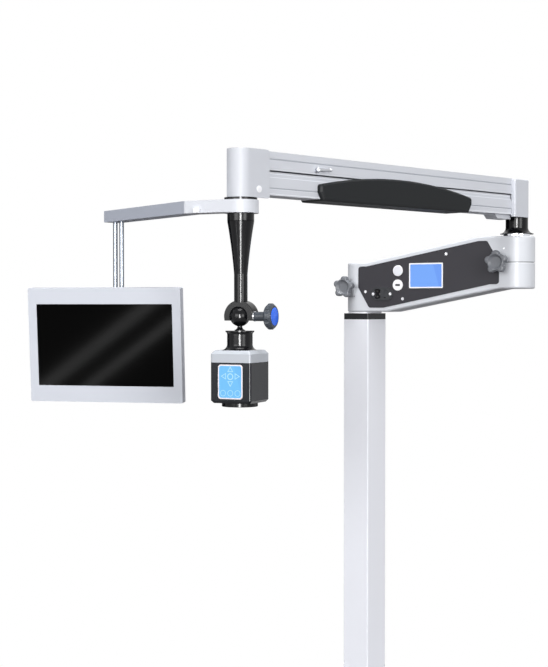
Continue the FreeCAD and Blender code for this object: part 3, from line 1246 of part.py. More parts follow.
def arm_grip():
    """Soft grip round the lower beam: curved on top, flat below, its upper edge clear of the upper beam."""
    half = BEAM_WIDTH / 2
    out = half + GRIP_SIDE
    low = LOWER_PIN - LOWER_BEAM_LOW - GRIP_UNDER
    x0, x1 = GRIP_SPAN
    tip, knee = LOWER_PIN + GRIP_TIPS, LOWER_PIN + GRIP_KNEES
    top = V((x0 + x1) / 2, -out, LOWER_PIN + GRIP_TOP)
    below = [V(x1, -out, tip), V(x1, -out, knee), V(x1 - GRIP_SLANT, -out, low), V(x0 + GRIP_SLANT, -out, low),
             V(x0, -out, knee), V(x0, -out, tip)]
    edges = [Part.Arc(below[-1], top, below[0]).toShape()]
    edges += [Part.LineSegment(start, end).toShape() for start, end in zip(below, below[1:])]
    body = Part.Face(Part.Wire(edges)).extrude(V(0, 2 * out, 0))
    corners = [e for e in body.Edges if e.BoundBox.YLength > out and abs(e.CenterOfMass.z - knee) > 1]
    body = body.makeFillet(GRIP_CORNER, corners)
    rims = [e for e in body.Edges if abs(abs(e.CenterOfMass.y) - out) < 1e-6]
    body = body.makeChamfer(GRIP_BEVEL, rims)
    step = LOWER_PIN + LOWER_STEP
    body = body.cut(box(x0 - 1, x1 + 1, -half, half, LOWER_PIN - LOWER_BEAM_LOW, step + 1))
    clear = half + 2 * SEAT_GAP
    return body.cut(box(x0 - 1, x1 + 1, -clear, clear, step, LOWER_PIN + GRIP_TOP + 10))


def lift_lock_lever():
    """Small lever that locks the arm's height, on a pin in the upper beam's side."""
    half = BEAM_WIDTH / 2
    x, y, z = LEVER_PLACE, half + LEVER_STANDOFF, UPPER_PIN - LEVER_BELOW_PIN
    elbow, bar, tip = LEVER_BALL_RADIUS, LEVER_RADIUS, LEVER_TIP_RADIUS
    leave = math.sqrt(elbow ** 2 - bar ** 2)
    meet = LEVER_LENGTH - math.sqrt(tip ** 2 - bar ** 2)
    handle = turned([
        arc((0, -elbow), (elbow, 0), (bar, leave)),
        line((bar, leave), (bar, meet)),
        arc((bar, meet), (tip, LEVER_LENGTH), (0, LEVER_LENGTH + tip)),
        line((0, LEVER_LENGTH + tip), (0, -elbow)),
    ])
    turn = FreeCAD.Rotation(V(0, 0, 1), V(-LEVER_LENGTH, 0, LEVER_RISE))
    handle.Placement = FreeCAD.Placement(V(x, y, z), turn)
    pin = across(LEVER_RADIUS, half - UPPER_BEAM_WALL, y, x, z)
    return joined(handle, pin)


def knuckle_plug():
    """Cap in the visible end of the front knuckle's lower pin hole."""
    face = KNUCKLE_CORE_RADIUS
    rings = [across(radius, face, face + step, FRONT_PIN, LOWER_PIN) for radius, step in zip(PLUG_RADII, PLUG_STEPS)]
    return joined(*rings)


def drop_spindle():
    """Spindle below the front knuckle, with its shoulder ring and the nut that holds the drop arm."""
    radius = DROP_SPINDLE_DIAMETER / 2
    ring = upright(RING_RADIUS, RING_LOW, FRONT_KNUCKLE_LOW)
    nut_top = DROP_TOP - DROP_COLLAR - SEAT_GAP
    shaft = upright(radius, nut_top - DROP_NUT - DROP_THREAD_END, FRONT_KNUCKLE_LOW + DROP_SPINDLE_GRIP)
    nut = upright(DROP_NUT_RADIUS, nut_top - DROP_NUT, nut_top)
    return joined(shaft, ring, nut)


def build_spring_arm():
    """Post, knuckles, the two beams and what they carry."""
    half_rear, half_front = REAR_KNUCKLE_WIDTH / 2, KNUCKLE_CORE_RADIUS
    rear_end = half_rear - PIN_COVERS[0]
    assembly = {
        "arm_post": arm_post(), "swivel_disc": swivel_disc(), "rear_knuckle": rear_knuckle(),
        "rear_pins": pins(PIN_SETBACK, half_rear, rear_end, rear_end),
        "upper_beam": upper_beam(), "lower_beam": lower_beam(),
        "balance_spring": balance_spring(), "arm_grip": arm_grip(), "lift_lock_lever": lift_lock_lever(),
        "front_knuckle": front_knuckle(),
        "front_pins": pins(FRONT_PIN, half_front, half_front, half_front - PIN_COVERS[1]),
        "knuckle_plug": knuckle_plug(),
    }
    for name, shape in assembly.items():
        keep(name, shape, SPRING_FRAME)
    keep("drop_spindle", drop_spindle(), DROP_FRAME)


# Monitor arm, in its own frame: X along its first stretch, +Y towards the user


def bend_direction():
    """Unit vectors along and across the second stretch."""
    angle = math.radians(ARM_BEND)
    return V(math.cos(angle), -math.sin(angle), 0), V(math.sin(angle), math.cos(angle), 0)


def rod_places():
    """The two rods' centres near the end of the second stretch."""
    ahead, left = bend_direction()
    outer_bend = V(FIRST_STRETCH, HUB_RADIUS, 0)
    middle = outer_bend - left * (MONITOR_ARM_WIDTH / 2)
    far = SECOND_STRETCH - ROD_FROM_END
    return [middle + ahead * far, middle + ahead * (far - ROD_PITCH)]


def swivel_place():
    """The monitor's vertical axis, midway between the rods."""
    first, second = rod_places()
    return (first + second) * 0.5


def monitor_arm():
    """Flat bent arm with a round hub on the drop axis and sockets for the rods."""
    ahead, left = bend_direction()
    width, bend = MONITOR_ARM_WIDTH, math.radians(ARM_BEND)
    outer = V(FIRST_STRETCH, HUB_RADIUS, 0)
    outer_end = outer + ahead * SECOND_STRETCH
    inner_end = outer_end - left * width
    inner = V(FIRST_STRETCH - width * math.tan(bend / 2), HUB_RADIUS - width, 0)
    low = HUB_TOP - MONITOR_ARM_THICKNESS
    r, end_r = MONITOR_ARM_ROUND, MONITOR_ARM_END_ROUND
    bar = plan_plate([(0, HUB_RADIUS, 0), (outer.x, outer.y, r), (outer_end.x, outer_end.y, end_r),
                      (inner_end.x, inner_end.y, end_r), (inner.x, inner.y, r), (0, HUB_RADIUS - width, 0)],
                     low, HUB_TOP)
    hub = upright(HUB_RADIUS, HUB_LOW, HUB_TOP)
    arm = joined(hub, bar)
    arm = arm.cut(upright(DROP_SPINDLE_DIAMETER / 2 + RUNNING_FIT, HUB_LOW - 1, HUB_TOP + 1))
    for place in rod_places():
        arm = arm.cut(upright(ROD_DIAMETER / 2 + FIXED_FIT, low - 1, low + ROD_SOCKET, place.x, place.y))
    return arm


def cable_clip():
    """Small clip at the outer bend's lower edge."""
    length, depth, height = CLIP_SIZE
    low = HUB_TOP - MONITOR_ARM_THICKNESS
    end = FIRST_STRETCH - CLIP_FROM_BEND
    return box(end - length, end, HUB_RADIUS, HUB_RADIUS + depth, low, low + height)


def hanger_rods():
    """The two polished rods."""
    low = MONITOR_AXIS_HEIGHT + YOKE_HEIGHT / 2 + SEAT_GAP
    high = HUB_TOP - MONITOR_ARM_THICKNESS + ROD_SOCKET
    return Part.makeCompound([upright(ROD_DIAMETER / 2, low, high, p.x, p.y) for p in rod_places()])


def rod_foot():
    """Plate on the rods' lower ends, with the monitor's swivel pin below it."""
    first, second = rod_places()
    middle = swivel_place()
    low = MONITOR_AXIS_HEIGHT + YOKE_HEIGHT / 2 + SEAT_GAP
    length = ROD_PITCH + ROD_DIAMETER + 2 * FOOT_PLATE_END
    corner = FOOT_PLATE_WIDTH / 2 - 1
    plate = plan_plate(rectangle(length, FOOT_PLATE_WIDTH, corner), low, low + FOOT_PLATE)
    plate.rotate(V(0, 0, 0), V(0, 0, 1), -ARM_BEND)
    plate.translate(middle)
    for place in (first, second):
        plate = plate.cut(upright(ROD_DIAMETER / 2 + FIXED_FIT, low - 1, low + FOOT_PLATE + 1, place.x, place.y))
    pin_low = MONITOR_AXIS_HEIGHT - YOKE_HEIGHT / 2 - 1
    return joined(plate, upright(FOOT_PIVOT_DIAMETER / 2, pin_low, low + 1, middle.x, middle.y))


def build_monitor_arm():
    """The arm, its rods and the foot that carries the monitor."""
    for name, shape in {"monitor_arm": monitor_arm(), "cable_clip": cable_clip(), "hanger_rods": hanger_rods(),
                        "rod_foot": rod_foot()}.items():
        keep(name, shape, MONITOR_ARM_FRAME)


# Monitor: the yoke's frame is on the swivel axis, the monitor's frame on the tilt pin


def tilt_yoke():
    """Hub on the swivel pin with a cross barrel and trunnions for the tilt."""
    z = MONITOR_AXIS_HEIGHT
    half = YOKE_HEIGHT / 2
    hub = upright(YOKE_RADIUS, z - half, z + half)
    neck_half, neck_rise = YOKE_NECK[0] / 2, YOKE_NECK[1] / 2
    neck = box(-neck_half, neck_half, -TILT_TO_ROD, 0, z - neck_rise, z + neck_rise)
    barrel = rod(TILT_BARREL_RADIUS, (-TILT_BARREL_LENGTH / 2, -TILT_TO_ROD, z),
                 (TILT_BARREL_LENGTH / 2, -TILT_TO_ROD, z))
    reach = TILT_BARREL_LENGTH / 2 + SEAT_GAP + EAR_THICKNESS
    trunnions = rod(TILT_PIN_DIAMETER / 2, (-reach, -TILT_TO_ROD, z), (reach, -TILT_TO_ROD, z))
    yoke = joined(hub, neck, barrel, trunnions)
    return yoke.cut(upright(FOOT_PIVOT_DIAMETER / 2 + RUNNING_FIT, z - half - 1, z + half + 1))


def monitor_faces():
    """Y of the monitor's front, of its rear edge and of the back cover's outside, from the tilt pin."""
    outside = -TILT_TO_BACK - BACK_BOX[2]
    rear = outside - BACK_THICKNESS
    return rear - MONITOR_DEPTH, rear, outside


def monitor_size():
    """Width and height of the monitor round its screen."""
    return tuple(length + 2 * border for length, border in zip(SCREEN_SIZE, BEZEL_BORDER))


def monitor_bezel():
    """Front frame and sides of the monitor in one shell."""
    front, rear, _ = monitor_faces()
    width, height = monitor_size()
    shell = side_plate(rectangle(width, height, MONITOR_CORNER), front, rear)
    inside = side_plate(rectangle(width - 2 * MONITOR_WALL, height - 2 * MONITOR_WALL, 1),
                        front + MONITOR_WALL, rear + 1)
    window = side_plate(rectangle(SCREEN_SIZE[0], SCREEN_SIZE[1], 0), front - 1, front + MONITOR_WALL + 1)
    return shell.cut(inside).cut(window)


def monitor_screen():
    """Display panel behind the bezel's window, with a raised pane that fills the window."""
    front, _, _ = monitor_faces()
    back = front + MONITOR_WALL + PANEL_THICKNESS
    panel = side_plate(rectangle(SCREEN_SIZE[0] + 2 * PANEL_OVERLAP, SCREEN_SIZE[1] + 2 * PANEL_OVERLAP, 0),
                       front + MONITOR_WALL, back)
    pane = side_plate(rectangle(SCREEN_SIZE[0] - 2 * FIXED_FIT, SCREEN_SIZE[1] - 2 * FIXED_FIT, 0),
                      front + SCREEN_RECESS, front + MONITOR_WALL)
    return joined(panel, pane)


def monitor_back():
    """Back cover with a raised middle, a pad that holds the panel and two ears on the tilt pin."""
    front, rear, outside = monitor_faces()
    width, height = monitor_size()
    cover = side_plate(rectangle(width, height, MONITOR_CORNER), rear, outside)
    panel_back = front + MONITOR_WALL + PANEL_THICKNESS
    pad = side_plate(rectangle(SCREEN_SIZE[0] - 2 * PAD_MARGIN[0], SCREEN_SIZE[1] - 2 * PAD_MARGIN[1], PAD_CORNER),
                     panel_back, rear)
    raised = side_plate(rectangle(BACK_BOX[0], BACK_BOX[1], BACK_BOX_CORNER), outside, -TILT_TO_BACK)
    shape = joined(cover, pad, raised)
    inner = TILT_BARREL_LENGTH / 2 + SEAT_GAP
    for side in (-1, 1):
        x0, x1 = sorted((side * inner, side * (inner + EAR_THICKNESS)))
        ear = box(x0, x1, -TILT_TO_BACK - 1, 0, -EAR_RADIUS, EAR_RADIUS)
        tip = rod(EAR_RADIUS, (x0, 0, 0), (x1, 0, 0))
        shape = joined(shape, ear, tip)
    reach = inner + 2 * EAR_THICKNESS
    shape = shape.cut(rod(TILT_PIN_DIAMETER / 2 + RUNNING_FIT, (-reach, 0, 0), (reach, 0, 0)))
    for row in range(VENT_COUNT):
        z = height / 2 - VENT_FROM_TOP - VENT_PITCH * row
        for side in (-1, 1):
            x0, x1 = sorted((side * VENT_SPAN[0], side * VENT_SPAN[1]))
            shape = shape.cut(box(x0, x1, outside - VENT_DEPTH, outside + 1, z, z + VENT_HEIGHT))
    return shape


def build_monitor():
    """Yoke and monitor."""
    middle = swivel_place()
    yoke_frame = MONITOR_ARM_FRAME * frame_at(middle.x, middle.y, 0, MONITOR_YAW)
    keep("tilt_yoke", tilt_yoke(), yoke_frame)
    lean = FreeCAD.Placement(V(0, -TILT_TO_ROD, MONITOR_AXIS_HEIGHT), FreeCAD.Rotation(V(1, 0, 0), MONITOR_TILT))
    frame = yoke_frame * lean
    for name, shape in {"monitor_bezel": monitor_bezel(), "monitor_screen": monitor_screen(),
                        "monitor_back": monitor_back()}.items():
        keep(name, shape, frame)


# Drop arm and ball clamp: X to the user's right, -Y to the user. The clamp's frame is on the drop axis and the
# head's frame on the ball.


def drop_tube():
    """Turned drop arm: collar on the spindle, long taper, slim lower end seated in the clamp housing."""
    top, seam = DROP_TOP, DROP_TOP - DROP_COLLAR
    taper_end = seam - DROP_TAPER
    bottom = BALL_HEIGHT + CLAMP_RADIUS - DROP_SEAT
    spindle = DROP_SPINDLE_DIAMETER / 2 + RUNNING_FIT
    chamber = DROP_NUT_RADIUS + DROP_CHAMBER_PLAY
    floor = seam - DROP_CHAMBER
    cone_foot, cone_top = spindle, floor + chamber - spindle
    bend = ((DROP_TOP_RADIUS + DROP_LOW_RADIUS) / 2 - DROP_BELLY, (seam + taper_end) / 2)
    groove, notch = DROP_SEAM
    body = turned([
        line((spindle, top), (DROP_TOP_RADIUS, top)),
        line((DROP_TOP_RADIUS, top), (DROP_TOP_RADIUS, seam + groove)),
        line((DROP_TOP_RADIUS, seam + groove), (DROP_TOP_RADIUS - notch, seam + groove / 2)),
        line((DROP_TOP_RADIUS - notch, seam + groove / 2), (DROP_TOP_RADIUS, seam)),
        arc((DROP_TOP_RADIUS, seam), bend, (DROP_LOW_RADIUS, taper_end)),
        line((DROP_LOW_RADIUS, taper_end), (DROP_LOW_RADIUS, bottom)),
        line((DROP_LOW_RADIUS, bottom), (0, bottom)),
        line((0, bottom), (0, floor)),
        line((0, floor), (cone_foot, floor)),
        line((cone_foot, floor), (chamber, cone_top)),
        line((chamber, cone_top), (chamber, seam)),
        line((chamber, seam), (spindle, seam)),
        line((spindle, seam), (spindle, top)),
    ])
    return body


def clamp_housing():
    """D-shaped ball clamp, flat below, with a round opening in front, bored for the tube and the clamp screw."""
    z = BALL_HEIGHT
    front, rear = CLAMP_SPAN
    body = across(CLAMP_RADIUS, front, rear, 0, z)
    rims = [e for e in body.Edges if abs(e.BoundBox.YLength) < 1e-6]
    body = body.makeFillet(CLAMP_ROUND, rims)
    around = CLAMP_RADIUS + 1
    body = body.cut(box(-around, around, -around, around, z - around, z - CLAMP_FLAT))
    seat = BALL_RADIUS + BALL_FIT
    body = body.cut(Part.makeSphere(seat, V(0, -BALL_AHEAD, z)))
    opening = math.sqrt(seat ** 2 - (front + BALL_AHEAD) ** 2)
    body = body.cut(Part.makeCone(opening + CLAMP_LIP, opening, CLAMP_LIP, V(0, front, z), V(0, 1, 0)))
    body = body.cut(upright(DROP_LOW_RADIUS + FIXED_FIT, z + CLAMP_RADIUS - DROP_SEAT, z + around))
    return body.cut(rod(CLAMP_THREAD_DIAMETER / 2 + RUNNING_FIT, (0, -BALL_AHEAD, z), (around, -BALL_AHEAD, z)))


def clamp_knob():
    """Lobed knob on the clamp screw, and the plain disc in its end."""
    z = BALL_HEIGHT
    seat = CLAMP_RADIUS + SEAT_GAP
    knob_start = seat + CLAMP_SCREW_LENGTH
    knob_end = knob_start + CLAMP_KNOB_LENGTH
    gap = BALL_RADIUS + 2 * BALL_FIT
    thread = rod(CLAMP_THREAD_DIAMETER / 2, (gap, 0, z), (seat, 0, z))
    shank = rod(CLAMP_SCREW_DIAMETER / 2, (seat, 0, z), (knob_start, 0, z))
    chamfer = CLAMP_KNOB_CHAMFER
    radius = CLAMP_KNOB_RADIUS
    profile = turned_polygon([(0, knob_start), (radius - chamfer, knob_start), (radius, knob_start + chamfer),
                              (radius, knob_end - chamfer), (radius - chamfer, knob_end), (0, knob_end)])
    hollow_at = radius - CLAMP_HOLLOW_DEPTH + CLAMP_HOLLOW_RADIUS
    for i in range(CLAMP_KNOB_LOBES):
        angle = math.radians(360 / CLAMP_KNOB_LOBES * (i + 0.5))
        profile = profile.cut(upright(CLAMP_HOLLOW_RADIUS, knob_start - 1, knob_end + 1,
                                      hollow_at * math.cos(angle), hollow_at * math.sin(angle)))
    disc_top = knob_end + KNOB_DISC_PROUD
    profile = profile.cut(upright(KNOB_DISC_RADIUS + FIXED_FIT, disc_top - KNOB_DISC, knob_end + 1))
    profile.rotate(V(0, 0, 0), V(0, 1, 0), 90)
    profile.translate(V(0, 0, z))
    disc = rod(KNOB_DISC_RADIUS, (disc_top - KNOB_DISC, 0, z), (disc_top, 0, z))
    return Part.makeCompound([joined(thread, shank, profile), disc])


def ball_stem():
    """Polished ball with its neck, flange and the pin that the head turns on."""
    z = BALL_HEIGHT
    flange = z - STEM_FLANGE_BELOW
    low = SPOOL_TOP + SEAT_GAP
    join = math.sqrt(BALL_RADIUS ** 2 - STEM_NECK_RADIUS ** 2) - 0.5
    stem = turned([
        line((0, z - join), (STEM_NECK_RADIUS, z - join)),
        arc((STEM_NECK_RADIUS, z - join), (STEM_NECK_RADIUS + STEM_NECK_FLARE, (z - join + flange) / 2),
            (STEM_FLANGE_RADIUS, flange)),
        line((STEM_FLANGE_RADIUS, flange), (STEM_FLANGE_RADIUS, low)),
        line((STEM_FLANGE_RADIUS, low), (STEM_PIN_RADIUS, low)),
        line((STEM_PIN_RADIUS, low), (STEM_PIN_RADIUS, low - STEM_PIN_LENGTH)),
        line((STEM_PIN_RADIUS, low - STEM_PIN_LENGTH), (0, low - STEM_PIN_LENGTH)),
        line((0, low - STEM_PIN_LENGTH), (0, z - join)),
    ])
    return joined(Part.makeSphere(BALL_RADIUS, V(0, 0, z)), stem)


def build_drop_arm():
    """Drop arm, clamp and ball."""
    keep("drop_tube", drop_tube(), CLAMP_FRAME)
    keep("clamp_housing", clamp_housing(), CLAMP_FRAME)
    keep("clamp_knob", clamp_knob(), HEAD_FRAME)
    keep("ball_stem", ball_stem(), HEAD_FRAME)


# Optical head, in the head's frame


def spool_neck():
    """Neck between the ball's stem and the head: a lip, a straight waist and a round foot."""
    top, base, waist = SPOOL_TOP, COVER_TOP, SPOOL_WAIST_RADIUS
    lip_low = top - SPOOL_LIP
    share, height, drop = SPOOL_SHOULDER
    bulge = (waist + (SPOOL_TOP_RADIUS - waist) * share, lip_low - drop)
    off = SPOOL_FLARE * (1 - math.sqrt(0.5))
    bore = STEM_PIN_RADIUS + RUNNING_FIT
    depth = top - STEM_PIN_LENGTH - 1
    return turned([
        line((bore, top), (SPOOL_TOP_RADIUS, top)),
        line((SPOOL_TOP_RADIUS, top), (SPOOL_TOP_RADIUS, lip_low)),
        arc((SPOOL_TOP_RADIUS, lip_low), bulge, (waist, lip_low - height)),
        line((waist, lip_low - height), (waist, base + SPOOL_FLARE)),
        arc((waist, base + SPOOL_FLARE), (waist + off, base + off), (waist + SPOOL_FLARE, base)),
        line((waist + SPOOL_FLARE, base), (0, base)),
        line((0, base), (0, depth)),
        line((0, depth), (bore, depth)),
        line((bore, depth), (bore, top)),
    ])


def head_cover():
    """Bright upper cover with a bevelled top edge."""
    straight = COVER_TOP - HEAD_COVER_CHAMFER
    base = plan_plate(rectangle(HEAD_SIDE, HEAD_SIDE, HEAD_CORNER), BODY_TOP, straight)
    small = HEAD_SIDE - 2 * HEAD_COVER_CHAMFER * BEVEL_SLOPE
    bevel = tapered_square(HEAD_SIDE, small, HEAD_CORNER, HEAD_CORNER, straight, COVER_TOP)
    return joined(base, bevel)


def head_body():
    """Dark camera housing with a recess for the touch panel and a seat for the objective."""
    chamfer = HEAD_BODY_CHAMFER
    base = plan_plate(rectangle(HEAD_SIDE, HEAD_SIDE, HEAD_CORNER), BODY_LOW + chamfer, BODY_TOP)
    small = HEAD_SIDE - 2 * chamfer * BEVEL_SLOPE
    bevel = tapered_square(small, HEAD_SIDE, HEAD_CORNER, HEAD_CORNER, BODY_LOW, BODY_LOW + chamfer)
    body = joined(base, bevel)
    face = -HEAD_SIDE / 2
    body = body.cut(side_plate(touch_outline(FIXED_FIT), face - 1, face + TOUCH_THICKNESS - TOUCH_PROUD))
    return body.cut(upright(OBJECTIVE_BORE + FIXED_FIT, BODY_LOW - 1, BODY_LOW + OBJECTIVE_SPIGOT))


def touch_outline(grow):
    """The touch panel's outline on the head's front."""
    z = BODY_TOP - TOUCH_FROM_TOP - TOUCH_SIZE[1] / 2
    return rectangle(TOUCH_SIZE[0] + 2 * grow, TOUCH_SIZE[1] + 2 * grow, TOUCH_ROUND, 0, z)


def touch_panel():
    """Glass touch panel in the head's front."""
    face = -HEAD_SIDE / 2
    return side_plate(touch_outline(0), face - TOUCH_PROUD, face + TOUCH_THICKNESS - TOUCH_PROUD)


def objective_ring():
    """Ring round the objective, with a spigot in the head and a seat for the lens."""
    low = BODY_LOW - OBJECTIVE_HEIGHT
    inner = OBJECTIVE_BORE - OBJECTIVE_LEDGE
    lens_low = low + LENS_RECESS
    return turned_polygon([
        (inner, lens_low + LENS_THICKNESS), (inner, BODY_LOW + OBJECTIVE_SPIGOT),
        (OBJECTIVE_BORE, BODY_LOW + OBJECTIVE_SPIGOT), (OBJECTIVE_BORE, BODY_LOW), (OBJECTIVE_RADIUS, BODY_LOW),
        (OBJECTIVE_RADIUS, low + OBJECTIVE_CHAMFER), (OBJECTIVE_RADIUS - OBJECTIVE_CHAMFER, low), (OBJECTIVE_BORE, low),
        (OBJECTIVE_BORE, lens_low + LENS_THICKNESS),
    ])


def objective_lens():
    """Front lens with a shallow dome below."""
    low = BODY_LOW - OBJECTIVE_HEIGHT + LENS_RECESS
    edge = OBJECTIVE_BORE - FIXED_FIT
    dome_radius = (edge ** 2 + LENS_DOME ** 2) / (2 * LENS_DOME)
    blank = upright(edge, low, low + LENS_THICKNESS)
    return blank.common(Part.makeSphere(dome_radius, V(0, 0, low + dome_radius)))


def build_head():
    """The camera head."""
    for name, shape in {"spool_neck": spool_neck(), "head_cover": head_cover(), "head_body": head_body(),
                        "touch_panel": touch_panel(), "objective_ring": objective_ring(),
                        "objective_lens": objective_lens()}.items():
        keep(name, shape, HEAD_FRAME)


build_base()
build_column()
build_control_arm()
build_spring_arm()
build_monitor_arm()
build_monitor()
build_drop_arm()
build_head()

os.makedirs("parts", exist_ok=True)
for name, shape in pieces.items():
    shape.exportStep(f"parts/{name}.step")
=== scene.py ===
import math

import bmesh
import bpy
from mathutils import Matrix, Vector


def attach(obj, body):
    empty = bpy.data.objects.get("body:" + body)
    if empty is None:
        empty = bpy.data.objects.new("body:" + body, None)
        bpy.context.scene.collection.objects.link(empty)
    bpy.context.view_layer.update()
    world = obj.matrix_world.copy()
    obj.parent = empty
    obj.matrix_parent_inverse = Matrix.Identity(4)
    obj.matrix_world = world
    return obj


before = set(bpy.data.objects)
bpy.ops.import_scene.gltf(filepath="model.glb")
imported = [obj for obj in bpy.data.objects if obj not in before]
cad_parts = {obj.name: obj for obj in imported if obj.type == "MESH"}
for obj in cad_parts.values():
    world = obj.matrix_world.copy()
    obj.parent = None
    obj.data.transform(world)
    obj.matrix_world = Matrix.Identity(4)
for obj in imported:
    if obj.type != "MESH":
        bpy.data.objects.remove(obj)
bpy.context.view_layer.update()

# Studio floor and lamps.
# A pale floor keeps the stand's shadow near the base and turns to plain white further out.
# Three lamps light the stand from above, the front and the right, and three more show only in gloss.
# Two black cards, out of the camera's sight, keep the left side and the undersides darker.
FLOOR_RADIUS = 30
FLOOR_FADE = (0.5, 1.9)
SKY_LIGHT = 0.6
STAND_MIDDLE = (0.1, -0.2, 1.2)
SCREEN_MIDDLE = (0.02, -0.9, 1.38)
LAMPS = (
    ("lamp_above", (0.4, -1.0, 4.6), (0.3, -0.2, 1.5), 1.4, 1.4, 95),
    ("lamp_front", (0.6, -7.5, 2.9), STAND_MIDDLE, 4.0, 3.0, 275),
    ("lamp_right", (7.2, -2.4, 2.6), STAND_MIDDLE, 3.0, 3.4, 275),
)
GLOSS_LAMPS = (
    ("strip_at_camera", (2.4, -3.3, 1.6), (0.33, -0.87, 1.5), 0.5, 2.0, 300, 0),
    ("streak_low", (0.6, -4.8, 0.72), SCREEN_MIDDLE, 0.95, 0.045, 1.8, 35),
    ("streak_high", (0.36, -4.8, 0.73), SCREEN_MIDDLE, 0.95, 0.06, 2.2, 35),
)
scene = bpy.context.scene
scene.view_settings.view_transform = "Standard"


def srgb(red, green, blue):
    """A colour as it shows on a screen, as linear values."""
    shares = (red / 255, green / 255, blue / 255)
    return tuple(c / 12.92 if c <= 0.04045 else ((c + 0.055) / 1.055) ** 2.4 for c in shares) + (1.0,)


def add_node(nodes, kind, inputs=None, **settings):
    """A shader node with its settings and the values at its inputs."""
    node = nodes.new("ShaderNode" + kind)
    for setting, choice in settings.items():
        setattr(node, setting, choice)
    for socket, value in (inputs or {}).items():
        node.inputs[socket].default_value = value
    return node


def new_material(name):
    """An empty node material with its nodes, links and output."""
    material = bpy.data.materials.new(name)
    material.use_nodes = True
    nodes, links = material.node_tree.nodes, material.node_tree.links
    nodes.clear()
    return material, nodes, links, add_node(nodes, "OutputMaterial")


def make_object(name, shape, material):
    """An object of a finished bmesh, in one material."""
    mesh = bpy.data.meshes.new(name)
    shape.to_mesh(mesh)
    shape.free()
    mesh.materials.append(material)
    made = bpy.data.objects.new(name, mesh)
    scene.collection.objects.link(made)
    return made


def seen_rays(nodes, links):
    """The camera's own rays, and with them all rays that are reflected or pass through glass."""
    path = add_node(nodes, "LightPath")
    direct = add_node(nodes, "Math", operation="MAXIMUM")
    through = add_node(nodes, "Math", operation="MAXIMUM")
    links.new(path.outputs["Is Camera Ray"], direct.inputs[0])
    links.new(path.outputs["Is Glossy Ray"], direct.inputs[1])
    links.new(direct.outputs["Value"], through.inputs[0])
    links.new(path.outputs["Is Transmission Ray"], through.inputs[1])
    return path.outputs["Is Camera Ray"], through.outputs["Value"]


def lay_floor():
    """A wide disc with its own material: paint near the base, and white beyond it where it is seen."""
    ground = bmesh.new()
    bmesh.ops.create_circle(ground, cap_ends=True, segments=96, radius=FLOOR_RADIUS)
    material, nodes, links, output = new_material("floor_paint")
    camera_rays, shown_rays = seen_rays(nodes, links)
    coordinates = add_node(nodes, "TexCoord")
    distance = add_node(nodes, "VectorMath", operation="LENGTH")
    ramp = add_node(nodes, "MapRange", {"From Min": FLOOR_FADE[0], "From Max": FLOOR_FADE[1]},
                    interpolation_type="SMOOTHSTEP")
    fade = add_node(nodes, "Math", operation="MULTIPLY")
    bounce = add_node(nodes, "Mix", {"A": srgb(92, 88, 88), "B": srgb(248, 248, 250)}, data_type="RGBA")
    paint = add_node(nodes, "BsdfDiffuse")
    glow = add_node(nodes, "Emission")
    mix = add_node(nodes, "MixShader")
    links.new(coordinates.outputs["Object"], distance.inputs[0])
    links.new(distance.outputs["Value"], ramp.inputs["Value"])
    links.new(shown_rays, fade.inputs[0])
    links.new(ramp.outputs["Result"], fade.inputs[1])
    links.new(camera_rays, bounce.inputs["Factor"])
    links.new(bounce.outputs["Result"], paint.inputs["Color"])
    links.new(fade.outputs["Value"], mix.inputs["Fac"])
    links.new(paint.outputs["BSDF"], mix.inputs[1])
    links.new(glow.outputs["Emission"], mix.inputs[2])
    links.new(mix.outputs["Shader"], output.inputs["Surface"])
    floor = make_object("studio_floor", ground, material)


def light_world():
    """White where the camera or a reflection sees it, and a soft grey light on the object."""
    world = bpy.data.worlds.new("studio_world")
    scene.world = world
    world.use_nodes = True
    nodes, links = world.node_tree.nodes, world.node_tree.links
    nodes.clear()
    output = add_node(nodes, "OutputWorld")
    shown_rays = seen_rays(nodes, links)[1]
    level = add_node(nodes, "MapRange", {"To Min": SKY_LIGHT, "To Max": 1.0})
    sky = add_node(nodes, "Background", {"Color": (1, 1, 1, 1)})
    links.new(shown_rays, level.inputs["Value"])
    links.new(level.outputs["Result"], sky.inputs["Strength"])
    links.new(sky.outputs["Background"], output.inputs["Surface"])


def hang_lamp(name, place, target, width, height, watts, roll=0.0):
    """An area lamp that points at a place on the object; the roll is in degrees."""
    data = bpy.data.lights.new(name, "AREA")
    data.shape = "RECTANGLE"
    data.size, data.size_y, data.energy = width, height, watts
    lamp = bpy.data.objects.new(name, data)
    scene.collection.objects.link(lamp)
    lamp.location = place
    aim = (Vector(target) - Vector(place)).to_track_quat("-Z", "Y").to_matrix()
    lamp.rotation_euler = (aim @ Matrix.Rotation(math.radians(roll), 3, "Z")).to_euler()
    lamp.visible_camera = False
    return lamp


def hang_flag(name, corner, along, up, gloss_only):
    """A black card beside the set that keeps light or reflections off one side."""
    card = bmesh.new()
    bmesh.ops.create_grid(card, x_segments=1, y_segments=1, size=0.5)
    centre = Vector(corner) + (Vector(along) + Vector(up)) / 2
    across = Vector(along).cross(Vector(up)).normalized()
    place = Matrix.Translation(centre) @ Matrix((along, up, across)).transposed().to_4x4()
    bmesh.ops.transform(card, matrix=place, verts=card.verts)
    material, nodes, links, output = new_material(name + "_cloth")
    cloth = add_node(nodes, "BsdfDiffuse", {"Color": srgb(18, 18, 20)})
    links.new(cloth.outputs["BSDF"], output.inputs["Surface"])
    flag = make_object(name, card, material)
    flag.visible_camera = False
    flag.visible_diffuse = not gloss_only
    flag.visible_shadow = not gloss_only


